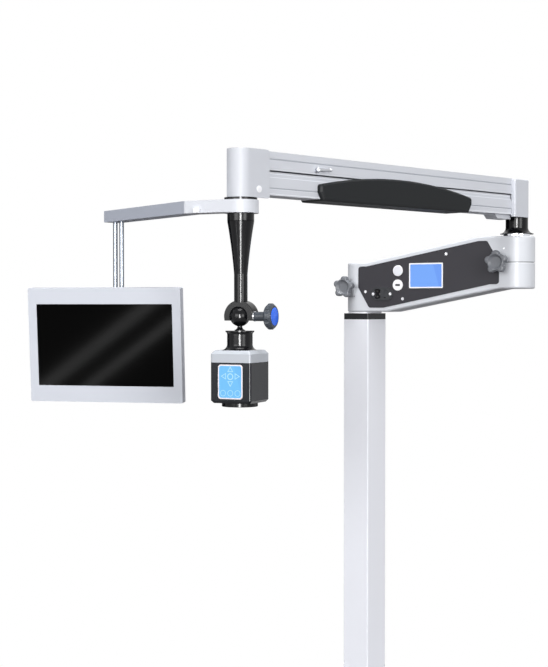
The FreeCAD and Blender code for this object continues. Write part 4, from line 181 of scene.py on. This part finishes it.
lay_floor()
light_world()
for lamp_values in LAMPS:
    hang_lamp(*lamp_values)
for lamp_values in GLOSS_LAMPS:
    hang_lamp(*lamp_values).visible_diffuse = False
hang_flag("flag_left", (-2.5, -2.1, 0.2), (0, 4.2, 0), (0, 0, 3), False)
hang_flag("flag_back", (-4.6, 2.6, 0.1), (5.2, 0, 0), (0, 0, 1.42), True)

# Camera.
# It stands to the right of the controls, a little above the control arm, as for the photograph.
# Its dip and its turn are in degrees, its lens and its sensor in millimetres.
CAMERA_DIP = 1.19
CAMERA_TURN = 40.5
camera = bpy.data.objects.new("camera", bpy.data.cameras.new("camera"))
scene.collection.objects.link(camera)
camera.location = (2.0983, -2.8293, 1.469)
camera.rotation_euler = (math.radians(90 - CAMERA_DIP), 0, math.radians(CAMERA_TURN))
camera.data.sensor_width = 36
camera.data.lens = 71.24
scene.camera = camera

# Mobile base.
# An iron plate in grey primer carries the load, under a moulded cover in smooth off-white plastic.
# The cover drops over the plate's edge and rises to the column.


def coat(name, colour, roughness, metallic=0.0, specular=0.5, clear=0.0, mottle=0.03, grain=600.0,
         depth=0.00002, stretch=(1, 1, 1), turn=0.0, blotch=9.0, wear=0.04):
    """A surface finish: slight blotches in its colour and gloss, and a fine grain in relief."""
    material, nodes, links, output = new_material(name)
    darker = tuple(c * (1 - mottle) for c in colour[:3]) + (1,)
    lighter = tuple(min(c * (1 + mottle), 1) for c in colour[:3]) + (1,)
    surface = add_node(nodes, "BsdfPrincipled", {
        "Metallic": metallic,
        "Specular IOR Level": specular,
        "Coat Weight": clear,
        "Coat Roughness": 0.06,
    })
    coordinates = add_node(nodes, "TexCoord")
    place = add_node(nodes, "Mapping", {"Rotation": (0, 0, math.radians(turn)), "Scale": stretch})
    blotches = add_node(nodes, "TexNoise", {"Scale": blotch, "Detail": 4})
    tone = add_node(nodes, "Mix", {"A": darker, "B": lighter}, data_type="RGBA")
    gloss = add_node(nodes, "MapRange", {"To Min": max(roughness - wear, 0.02), "To Max": roughness + wear})
    grains = add_node(nodes, "TexNoise", {"Scale": grain, "Detail": 3})
    relief = add_node(nodes, "Bump", {"Strength": 0.5, "Distance": depth})
    links.new(coordinates.outputs["Object"], place.inputs["Vector"])
    links.new(coordinates.outputs["Object"], blotches.inputs["Vector"])
    links.new(place.outputs["Vector"], grains.inputs["Vector"])
    links.new(blotches.outputs["Fac"], tone.inputs["Factor"])
    links.new(blotches.outputs["Fac"], gloss.inputs["Value"])
    links.new(tone.outputs["Result"], surface.inputs["Base Color"])
    links.new(gloss.outputs["Result"], surface.inputs["Roughness"])
    links.new(grains.outputs["Fac"], relief.inputs["Height"])
    links.new(relief.outputs["Normal"], surface.inputs["Normal"])
    links.new(surface.outputs["BSDF"], output.inputs["Surface"])
    return material


def finish(material, *nodes):
    """Gives carried-over nodes their surface."""
    for node in nodes:
        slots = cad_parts[node].data.materials
        slots.clear()
        slots.append(material)


primer = coat("iron_primer", srgb(62, 63, 66), 0.62, mottle=0.18, grain=340, depth=0.0002, blotch=22)
cover_plastic = coat("cover_plastic", srgb(222, 224, 230), 0.42, mottle=0.015, grain=1500, depth=0.00003)
finish(primer, "base_casting")
finish(cover_plastic, "base_cover")

# Castors.
# Each has a pressed steel fork in grey paint and a moulded wheel with a softer grey tyre.
# The two at the front carry a foot pedal for the brake.
CASTOR_OFFSET = 0.235
CASTORS = ((-1, -1, 200), (1, -1, 340), (1, 1, 20), (-1, 1, 160))
TRAIL = 0.028
AXLE_HEIGHT = 0.04
TYRE_HALF = ((0.0142, 0.0335), (0.0142, 0.036), (0.0108, 0.0385), (0.0055, 0.0399))
fork_paint = coat("fork_paint", srgb(120, 124, 130), 0.34, metallic=0.6, mottle=0.06, grain=900)
wheel_plastic = coat("wheel_plastic", srgb(70, 72, 76), 0.5, mottle=0.05, grain=1200, depth=0.00003)
pedal_plastic = coat("pedal_plastic", srgb(58, 60, 64), 0.55, mottle=0.08, grain=700, depth=0.0001)
tyre_rubber = coat("tyre_rubber", srgb(158, 160, 164), 0.66, mottle=0.08, grain=800, depth=0.00006, blotch=60)


def add_piece(name, shape, material, body, smooth=True):
    """Makes an object of a finished bmesh and hangs it on its body."""
    bmesh.ops.remove_doubles(shape, verts=shape.verts, dist=1e-7)
    bmesh.ops.recalc_face_normals(shape, faces=shape.faces)
    piece = make_object(name, shape, material)
    for polygon in piece.data.polygons:
        polygon.use_smooth = smooth
    if smooth:
        piece.data.set_sharp_from_angle(angle=math.radians(35))
    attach(piece, body)


def turn_profile(points, axis, centre, steps):
    """A ring from the corners of its section, turned a full circle."""
    ring = bmesh.new()
    corners = [ring.verts.new(point) for point in points]
    edges = [ring.edges.new((corners[i - 1], corners[i])) for i in range(len(corners))]
    bmesh.ops.spin(ring, geom=corners + edges, cent=centre, axis=axis, angle=2 * math.pi, steps=steps,
                   use_merge=True)
    return ring


tyre_section = [(TRAIL, -y, AXLE_HEIGHT + radius) for y, radius in TYRE_HALF]
tyre_section += [(TRAIL, y, AXLE_HEIGHT + radius) for y, radius in reversed(TYRE_HALF)]
for number, (side, end, heading) in enumerate(CASTORS, 1):
    finish(fork_paint, f"castor_fork_{number}")
    finish(wheel_plastic, f"castor_wheel_{number}")
    swivel = Matrix.Translation((side * CASTOR_OFFSET, end * CASTOR_OFFSET, 0))
    fork = swivel @ Matrix.Rotation(math.radians(heading), 4, "Z")
    tyre = turn_profile(tyre_section, (0, 1, 0), (TRAIL, 0, AXLE_HEIGHT), 72)
    bmesh.ops.transform(tyre, matrix=fork, verts=tyre.verts)
    add_piece(f"tyre_{number}", tyre, tyre_rubber, f"wheel_{number}")
finish(pedal_plastic, "brake_pedal_1", "brake_pedal_2")

# Column.
# A square steel tube in smooth white powder coat on a welded foot plate.
# Its black cap ends in a pale ring under the control arm.
# Its round spindle and the four foot screws are bare machined steel.
UP = (0, 0, 1)
PALE_RING = (1.45, 1.4536)


def add_band(material, colour, *slabs):
    """Gives a finish another colour where all slabs meet; a slab is a direction, its start and its end."""
    nodes, links = material.node_tree.nodes, material.node_tree.links
    base = nodes["Principled BSDF"].inputs["Base Color"]
    coordinates = add_node(nodes, "TexCoord")
    paint = add_node(nodes, "Mix", {"B": colour}, data_type="RGBA")
    links.new(base.links[0].from_socket, paint.inputs["A"])
    links.new(paint.outputs["Result"], base)
    target = paint.inputs["Factor"]
    for direction, start, end in slabs:
        along = add_node(nodes, "VectorMath", {1: direction}, operation="DOT_PRODUCT")
        within = add_node(nodes, "Math", {1: (start + end) / 2, 2: (end - start) / 2}, operation="COMPARE")
        both = add_node(nodes, "Math", {1: 1.0}, operation="MULTIPLY")
        links.new(coordinates.outputs["Object"], along.inputs[0])
        links.new(along.outputs["Value"], within.inputs[0])
        links.new(within.outputs["Value"], both.inputs[0])
        links.new(both.outputs["Value"], target)
        target = both.inputs[1]


white_coat = coat("white_powder_coat", srgb(229, 231, 238), 0.4, specular=0.35, mottle=0.012, grain=1100,
                  depth=0.00003, blotch=3)
black_gloss = coat("black_gloss_coat", srgb(11, 12, 15), 0.2, specular=0.2, mottle=0.1, grain=1500,
                   depth=0.000005, blotch=14, wear=0.02)
bare_steel = coat("bare_steel", srgb(176, 178, 182), 0.3, metallic=1.0, mottle=0.05, grain=900,
                  stretch=(1, 1, 0.1))
cap_black = coat("cap_black", srgb(24, 26, 29), 0.3, specular=0.25, mottle=0.06, grain=1500, depth=0.00001)
add_band(cap_black, srgb(236, 238, 243), (UP, *PALE_RING))
finish(white_coat, "column_tube")
finish(cap_black, "column_cap")
finish(bare_steel, "column_spindle", "column_bolts")

# Control arm.
# A white cast housing with a dark satin front plate, held by small countersunk screws.
# The plate carries a lit display in a white frame, a push button, a data socket and the mains inlet.
# A fine line of painted shadow over one of painted highlight runs round the housing's far end, in the colour
# alone.
CONTROL_TURN = 7.5
CONTROL = Matrix.Rotation(math.radians(CONTROL_TURN), 4, "Z")
ALONG_ARM = tuple(CONTROL.to_3x3() @ Vector((1, 0, 0)))
ARM_LOW = 1.4538
FASCIA = -0.0458
FAR_END = (ALONG_ARM, 0.405, 0.6)
SEAM_SHADOW = (1.5759, 1.5781)
SEAM_HIGHLIGHT = (1.5741, 1.5758)
DISPLAY = (0.2028, ARM_LOW + 0.093)
BUTTON = (0.1227, ARM_LOW + 0.1065)
SOCKET = (0.1227, ARM_LOW + 0.0696)
TONGUE = (0.1227, ARM_LOW + 0.0705)
THIN = 0.0003
GLOW = 0.96
white_cast = coat("white_cast_coat", srgb(208, 211, 217), 0.38, specular=0.25, mottle=0.012, grain=700,
                  depth=0.00004, blotch=4)
# A thin band of painted shadow above a thin band of painted highlight, round the housing's far end.
add_band(white_cast, srgb(112, 116, 124), (UP, *SEAM_SHADOW), FAR_END)
add_band(white_cast, srgb(240, 242, 247), (UP, *SEAM_HIGHLIGHT), FAR_END)
fascia_satin = coat("fascia_satin", srgb(55, 54, 59), 0.4, specular=0.15, mottle=0.04, grain=1800,
                    depth=0.00003)
bearing_brass = coat("bearing_brass", srgb(190, 160, 90), 0.35, metallic=1.0, mottle=0.06)
screw_steel = coat("screw_steel", srgb(215, 216, 220), 0.22, metallic=1.0, mottle=0.04, grain=1500)
frame_white = coat("display_frame_white", srgb(244, 244, 246), 0.3, mottle=0.01, grain=1500, depth=0.00001)
socket_black = coat("socket_black", srgb(42, 44, 48), 0.28, specular=0.4, mottle=0.06, grain=1400,
                    depth=0.00003)
plated = coat("contact_plating", srgb(104, 103, 102), 0.35, metallic=1.0, mottle=0.05, grain=1200)
board_lacquer = coat("board_lacquer", srgb(28, 84, 54), 0.3, mottle=0.1, grain=900, depth=0.00005)
# The pale colour is partly the plastic's own and partly a painted highlight on the rims of the button and the
# data socket; the button's face disc shows the plain grey.
rim_highlight_pale = coat("button_rim_highlight", srgb(240, 240, 243), 0.3, mottle=0.01, grain=1300, depth=0.00001)
button_face = coat("button_face", srgb(220, 222, 229), 0.34, mottle=0.01, grain=1300, depth=0.00001)
knob_grey = coat("star_knob_grey", srgb(108, 111, 117), 0.4, specular=0.4, mottle=0.05, grain=900,
                 depth=0.00004)
dark_steel = coat("socket_shell_steel", srgb(96, 98, 104), 0.35, metallic=1.0, mottle=0.05, grain=1500)
finish(white_cast, "control_arm_housing")
finish(fascia_satin, "fascia_plate")
finish(bearing_brass, "arm_bushes")
finish(screw_steel, "arm_screws")
finish(frame_white, "display_window")
finish(rim_highlight_pale, "power_button", "usb_port")
finish(socket_black, "power_inlet", "power_switch")
finish(plated, "inlet_pins")
finish(board_lacquer, "control_board")
finish(knob_grey, "column_brake_knob", "swivel_brake_knob")


def lit_panel(name, colour, reflection_colour, turn, centre, width):
    """Lit glass: an even colour, and beyond a slanting line a slightly darker one, a painted reflection."""
    material, nodes, links, output = new_material(name)
    surface = add_node(nodes, "BsdfPrincipled", {
        "Base Color": srgb(16, 18, 24),
        "Roughness": 0.12,
        "Specular IOR Level": 0.2,
        "Emission Strength": GLOW,
    })
    coordinates = add_node(nodes, "TexCoord")
    flat = add_node(nodes, "Mapping", {"Location": centre, "Rotation": (0, 0, math.radians(turn))},
                    vector_type="TEXTURE")
    parts = add_node(nodes, "SeparateXYZ")
    slant = add_node(nodes, "Math", {1: 0.3}, operation="MULTIPLY_ADD")
    # A painted reflection: the glow turns slightly darker beyond a slanting line.
    side = add_node(nodes, "MapRange", {"From Min": width * 0.30, "From Max": width * 0.34, "To Max": 0.55})
    dots = add_node(nodes, "TexNoise", {"Scale": 2500})
    speck = add_node(nodes, "MapRange", {"To Min": -0.04, "To Max": 0.04})
    total = add_node(nodes, "Math", operation="ADD")
    tone = add_node(nodes, "Mix", {"A": colour, "B": reflection_colour}, data_type="RGBA")
    links.new(coordinates.outputs["Object"], flat.inputs["Vector"])
    links.new(flat.outputs["Vector"], parts.inputs["Vector"])
    links.new(parts.outputs["Z"], slant.inputs[0])
    links.new(parts.outputs["X"], slant.inputs[2])
    links.new(slant.outputs["Value"], side.inputs["Value"])
    links.new(coordinates.outputs["Object"], dots.inputs["Vector"])
    links.new(dots.outputs["Fac"], speck.inputs["Value"])
    links.new(side.outputs["Result"], total.inputs[0])
    links.new(speck.outputs["Result"], total.inputs[1])
    links.new(total.outputs["Value"], tone.inputs["Factor"])
    links.new(tone.outputs["Result"], surface.inputs["Emission Color"])
    links.new(surface.outputs["BSDF"], output.inputs["Surface"])
    return material


def flat_plate(size, corner, thick, front, place, assembly):
    """A thin plate that faces -Y, square or with round corners, at a place in an assembly's frame."""
    plate = bmesh.new()
    bmesh.ops.create_grid(plate, x_segments=1, y_segments=1, size=0.5)
    bmesh.ops.scale(plate, vec=(*size, 1), verts=plate.verts)
    if corner:
        bmesh.ops.bevel(plate, geom=plate.verts[:], offset=corner, segments=8, profile=0.5,
                        affect="VERTICES", material=-1)
    made = bmesh.ops.extrude_face_region(plate, geom=plate.faces[:])
    moved = [v for v in made["geom"] if isinstance(v, bmesh.types.BMVert)]
    bmesh.ops.translate(plate, vec=(0, 0, thick), verts=moved)
    back = Matrix.Translation((place[0], front + thick, place[1]))
    stand = assembly @ back @ Matrix.Rotation(math.radians(90), 4, "X")
    bmesh.ops.transform(plate, matrix=stand, verts=plate.verts)
    return plate


def socket_shell():
    """The thin metal shell that lines the data socket's slot."""
    shell = bmesh.new()
    bmesh.ops.create_cube(shell, size=1)
    bmesh.ops.scale(shell, vec=(0.0129, 0.0078, 0.0053), verts=shell.verts)
    ends = [f for f in shell.faces if abs(f.normal.y) > 0.9]
    bmesh.ops.delete(shell, geom=ends, context="FACES")
    bmesh.ops.solidify(shell, geom=shell.faces[:], thickness=0.00035)
    place = CONTROL @ Matrix.Translation((SOCKET[0], FASCIA + 0.0019, SOCKET[1]))
    bmesh.ops.transform(shell, matrix=place, verts=shell.verts)
    return shell


lcd_centre = CONTROL @ Vector((DISPLAY[0], FASCIA, DISPLAY[1]))
# Its second colour is the painted reflection on the display.
lcd_blue = lit_panel("display_blue", srgb(122, 173, 255), srgb(104, 152, 246), CONTROL_TURN,
                     tuple(lcd_centre), 0.0889)
lcd = flat_plate((0.0887, 0.0576), 0, THIN, FASCIA - THIN, DISPLAY, CONTROL)
cap = flat_plate((0.0236, 0.0236), 0.01179, THIN, FASCIA - 0.0023, BUTTON, CONTROL)
insert_back = flat_plate((0.0121, 0.0046), 0, 0.0002, FASCIA + 0.0052, SOCKET, CONTROL)
insert_tongue = flat_plate((0.0112, 0.0021), 0, 0.006, FASCIA - 0.0012, TONGUE, CONTROL)
add_piece("display_glass", lcd, lcd_blue, "control_arm", smooth=False)
add_piece("button_cap_face", cap, button_face, "power_button")
add_piece("data_socket_shell", socket_shell(), dark_steel, "control_arm", smooth=False)
add_piece("data_socket_back", insert_back, socket_black, "control_arm", smooth=False)
add_piece("data_socket_tongue", insert_tongue, socket_black, "control_arm", smooth=False)

# Spring arm.
# Two lacquered aluminium channels slide past each other between two cast knuckles, on steel pins.
# Fine lines of painted highlight along their walls, and grey lines of painted shade in their grooves, are in
# the colour alone.
# A soft black grip wraps the lower one, and a black flared post carries the rear knuckle.
HIGHLIGHT_LINES = (srgb(226, 229, 235), 0.0016, (1.6941, 1.7042, 1.7277, 1.7352))
GROOVE_SHADE_LINES = (srgb(160, 165, 174), 0.0018, (1.7051, 1.7635))
SPRING_TURN = 5.65
arm_silver = coat("arm_silver_lacquer", srgb(201, 204, 211), 0.46, specular=0.3, mottle=0.02,
                  grain=2600, blotch=5)
# Thin bands at fixed heights: painted highlights, and painted shade in the grooves.
for line_colour, line_width, heights in (HIGHLIGHT_LINES, GROOVE_SHADE_LINES):
    for height in heights:
        add_band(arm_silver, line_colour, (UP, height, height + line_width))
knuckle_silver = coat("knuckle_lacquer", srgb(196, 199, 206), 0.5, specular=0.3, mottle=0.015,
                      grain=1800, depth=0.00003)
pin_steel = coat("pin_steel", srgb(186, 188, 193), 0.28, metallic=1.0, mottle=0.04, grain=1400)
spring_wire = coat("spring_wire", srgb(96, 98, 102), 0.4, metallic=1.0, mottle=0.08, grain=250,
                   depth=0.0008, stretch=(1, 0.001, 1), turn=SPRING_TURN)
grip_rubber = coat("grip_soft_black", srgb(30, 32, 34), 0.56, specular=0.12, mottle=0.06, grain=1700,
                   depth=0.00012, blotch=12)
polished = coat("polished_chrome", srgb(214, 216, 221), 0.1, metallic=1.0, mottle=0.02, grain=1500,
                depth=0.000005, wear=0.02)
trim_white = coat("trim_white", srgb(238, 239, 243), 0.34, mottle=0.01, grain=1200)
finish(black_gloss, "arm_post", "drop_spindle")
finish(polished, "swivel_disc")
finish(knuckle_silver, "rear_knuckle", "front_knuckle")
finish(pin_steel, "rear_pins", "front_pins", "lift_lock_lever")
finish(arm_silver, "upper_beam", "lower_beam")
finish(spring_wire, "balance_spring")
finish(grip_rubber, "arm_grip")
finish(trim_white, "knuckle_plug", "cable_clip")

# Monitor arm.
# A flat bent bar in white paint with a round hub, and two polished rods that hang from its end.
# From its bend to the rods the bar is coloured a darker silver, as painted shade.
LEFT_OF_ALL = -1
ARM_BEND = 0.2352
bar_white = coat("bar_white_coat", srgb(207, 210, 217), 0.44, specular=0.25, mottle=0.012, grain=1400,
                 blotch=4)
# Painted shade: the stretch from the bend to the rods gets a darker colour.
add_band(bar_white, srgb(170, 175, 187), ((1, 0, 0), LEFT_OF_ALL, ARM_BEND))
rod_bright = coat("rod_bright_steel", srgb(120, 125, 133), 0.38, metallic=1.0, mottle=0.02, grain=60,
                  depth=0.000002, stretch=(1, 1, 0.02))
finish(bar_white, "monitor_arm")
finish(rod_bright, "hanger_rods")
finish(knuckle_silver, "rod_foot", "tilt_yoke")

# Monitor.
# A flat screen in a pale moulded frame; the glass is black and glossy when it is off.
# The frame and the back cover are of the same plastic.
bezel_plastic = coat("bezel_plastic", srgb(198, 202, 211), 0.42, specular=0.3, mottle=0.012, grain=1900,
                     depth=0.00003, blotch=6)
screen_glass = coat("screen_glass", srgb(2, 2, 2), 0.06, specular=0.03, mottle=0.05, grain=2500,
                    depth=0.000003, wear=0.01)
finish(bezel_plastic, "monitor_bezel", "monitor_back")
finish(screen_glass, "monitor_screen")

# Drop arm and ball clamp.
# A turned black arm, gloss lacquered, ends in a black clamp that grips a polished black ball.
# The clamp's knob is slate plastic with a plain blue disc in its end.
# A bright washer sits between the clamp and the knob.
HEAD_TURN = 16.6
HEAD = Matrix.Translation((0.336306, -0.871082, 0)) @ Matrix.Rotation(math.radians(HEAD_TURN), 4, "Z")
BALL = 1.4484
DISC_RADIUS = 0.0178
DISC_THICK = 0.0004
DISC_PLACE = (0.0761, 0, BALL)
WASHER_SECTION = ((0.0324, 0.0094, 0), (0.0324, 0.0104, 0), (0.034, 0.0104, 0), (0.034, 0.0094, 0))
slate_plastic = coat("slate_plastic", srgb(60, 66, 74), 0.36, specular=0.3, mottle=0.05, grain=1300,
                     depth=0.00003)
disc_blue = coat("disc_blue", srgb(42, 110, 245), 0.3, specular=0.3, grain=1500)
finish(black_gloss, "drop_tube", "clamp_housing", "ball_stem", "spool_neck")
finish(slate_plastic, "clamp_knob")


def knob_disc():
    """The thin blue disc let into the clamp knob's end."""
    disc = bmesh.new()
    bmesh.ops.create_cone(disc, cap_ends=True, segments=64, radius1=DISC_RADIUS, radius2=DISC_RADIUS,
                          depth=DISC_THICK)
    rim = [e for e in disc.edges if all(abs(v.co.z - DISC_THICK / 2) < 1e-6 for v in e.verts)]
    bmesh.ops.bevel(disc, geom=rim, offset=0.00015, segments=2, profile=0.5, affect="EDGES", material=-1)
    place = HEAD @ Matrix.Translation(DISC_PLACE) @ Matrix.Rotation(math.radians(90), 4, "Y")
    bmesh.ops.transform(disc, matrix=place, verts=disc.verts)
    return disc


washer = turn_profile(WASHER_SECTION, (1, 0, 0), (0, 0, 0), 64)
bmesh.ops.transform(washer, matrix=HEAD @ Matrix.Translation((0, 0, BALL)), verts=washer.verts)
add_piece("knob_disc_face", knob_disc(), disc_blue, "clamp_knob")
add_piece("knob_washer", washer, polished, "clamp_knob")

# Optical head.
# A dark anodised housing under a bright silver cover, with a black ring round the coated lens.
# Its front holds a lit blue touch panel in a pale frame.
# The panel's lit control symbols stand a tenth of a millimetre proud of its glass.
TOUCH_HEIGHT = 1.3198
FACE = -0.0448
TOUCH_WIDTH = 0.0532
SYMBOL_RELIEF = 0.0001
MIDDLE = 0.0003
SIDE_ROW = TOUCH_HEIGHT + 0.0111
LOW_ROW = TOUCH_HEIGHT - 0.0223
TRIANGLE = (3, 0.0076, 0.0014)
RING = (40, 0.0062, 0.0011)
THICK_RING = (40, 0.0067, 0.0022)
SYMBOLS = {
    "symbol_up": (*TRIANGLE, MIDDLE, TOUCH_HEIGHT + 0.0234),
    "symbol_down": (*TRIANGLE, MIDDLE, TOUCH_HEIGHT - 0.0024, 180),
    "symbol_left": (*TRIANGLE, -0.0129, SIDE_ROW, 90),
    "symbol_right": (*TRIANGLE, 0.0139, SIDE_ROW, -90),
    "symbol_middle": (*THICK_RING, MIDDLE, TOUCH_HEIGHT + 0.0105),
    "symbol_low_left": (*RING, -0.0155, LOW_ROW),
    "symbol_low_middle": (*RING, MIDDLE, LOW_ROW),
    "symbol_low_right": (*RING, 0.0161, LOW_ROW),
}
head_silver = coat("head_cover_silver", srgb(178, 183, 191), 0.4, specular=0.35, mottle=0.02, grain=1900)
head_dark = coat("head_dark_anodised", srgb(26, 29, 35), 0.2, specular=0.2, mottle=0.06, grain=2200)
frame_pale = coat("touch_frame_pale", srgb(232, 224, 229), 0.34, mottle=0.01, grain=1500)
lens_coating = coat("lens_coating", srgb(40, 46, 66), 0.05, specular=0.8, clear=0.6, mottle=0.1, grain=900,
                    depth=0.000002, wear=0.01)
symbol_pale = coat("symbol_pale", srgb(20, 30, 36), 0.3, specular=0.2, mottle=0.01, grain=1500)
symbol_surface = symbol_pale.node_tree.nodes["Principled BSDF"]
symbol_surface.inputs["Emission Color"].default_value = srgb(178, 230, 255)
symbol_surface.inputs["Emission Strength"].default_value = GLOW
finish(head_silver, "head_cover")
finish(head_dark, "head_body")
finish(frame_pale, "touch_panel")
finish(black_gloss, "objective_ring")
finish(lens_coating, "objective_lens")


def symbol(corners, radius, stroke, x, z, turn=0.0):
    """The raised outline of a regular shape on the touch glass; the turn is in degrees."""
    outline = bmesh.new()
    bmesh.ops.create_circle(outline, cap_ends=True, segments=corners, radius=radius)
    bmesh.ops.inset_region(outline, faces=outline.faces[:], thickness=stroke, use_even_offset=True,
                           use_boundary=True)
    inner = min(outline.faces, key=lambda face: max(v.co.length for v in face.verts))
    bmesh.ops.delete(outline, geom=[inner], context="FACES")
    made = bmesh.ops.extrude_face_region(outline, geom=outline.faces[:])
    moved = [v for v in made["geom"] if isinstance(v, bmesh.types.BMVert)]
    bmesh.ops.translate(outline, vec=(0, 0, SYMBOL_RELIEF), verts=moved)
    spin = Matrix.Rotation(math.radians(turn), 3, "Z")
    bmesh.ops.rotate(outline, cent=(0, 0, 0), matrix=spin, verts=outline.verts)
    place = HEAD @ Matrix.Translation((x, FACE - THIN, z)) @ Matrix.Rotation(math.radians(90), 4, "X")
    bmesh.ops.transform(outline, matrix=place, verts=outline.verts)
    return outline


touch_centre = HEAD @ Vector((0, FACE, TOUCH_HEIGHT))
# Its second colour is the painted reflection on the touch panel.
touch_blue = lit_panel("touch_blue", srgb(121, 200, 255), srgb(112, 190, 250), HEAD_TURN,
                       tuple(touch_centre), TOUCH_WIDTH)
touch = flat_plate((0.0482, 0.063), 0.0045, THIN, FACE - THIN, (0, TOUCH_HEIGHT), HEAD)
add_piece("touch_glass", touch, touch_blue, "head")
for name, values in SYMBOLS.items():
    add_piece(name, symbol(*values), symbol_pale, "head", smooth=False)
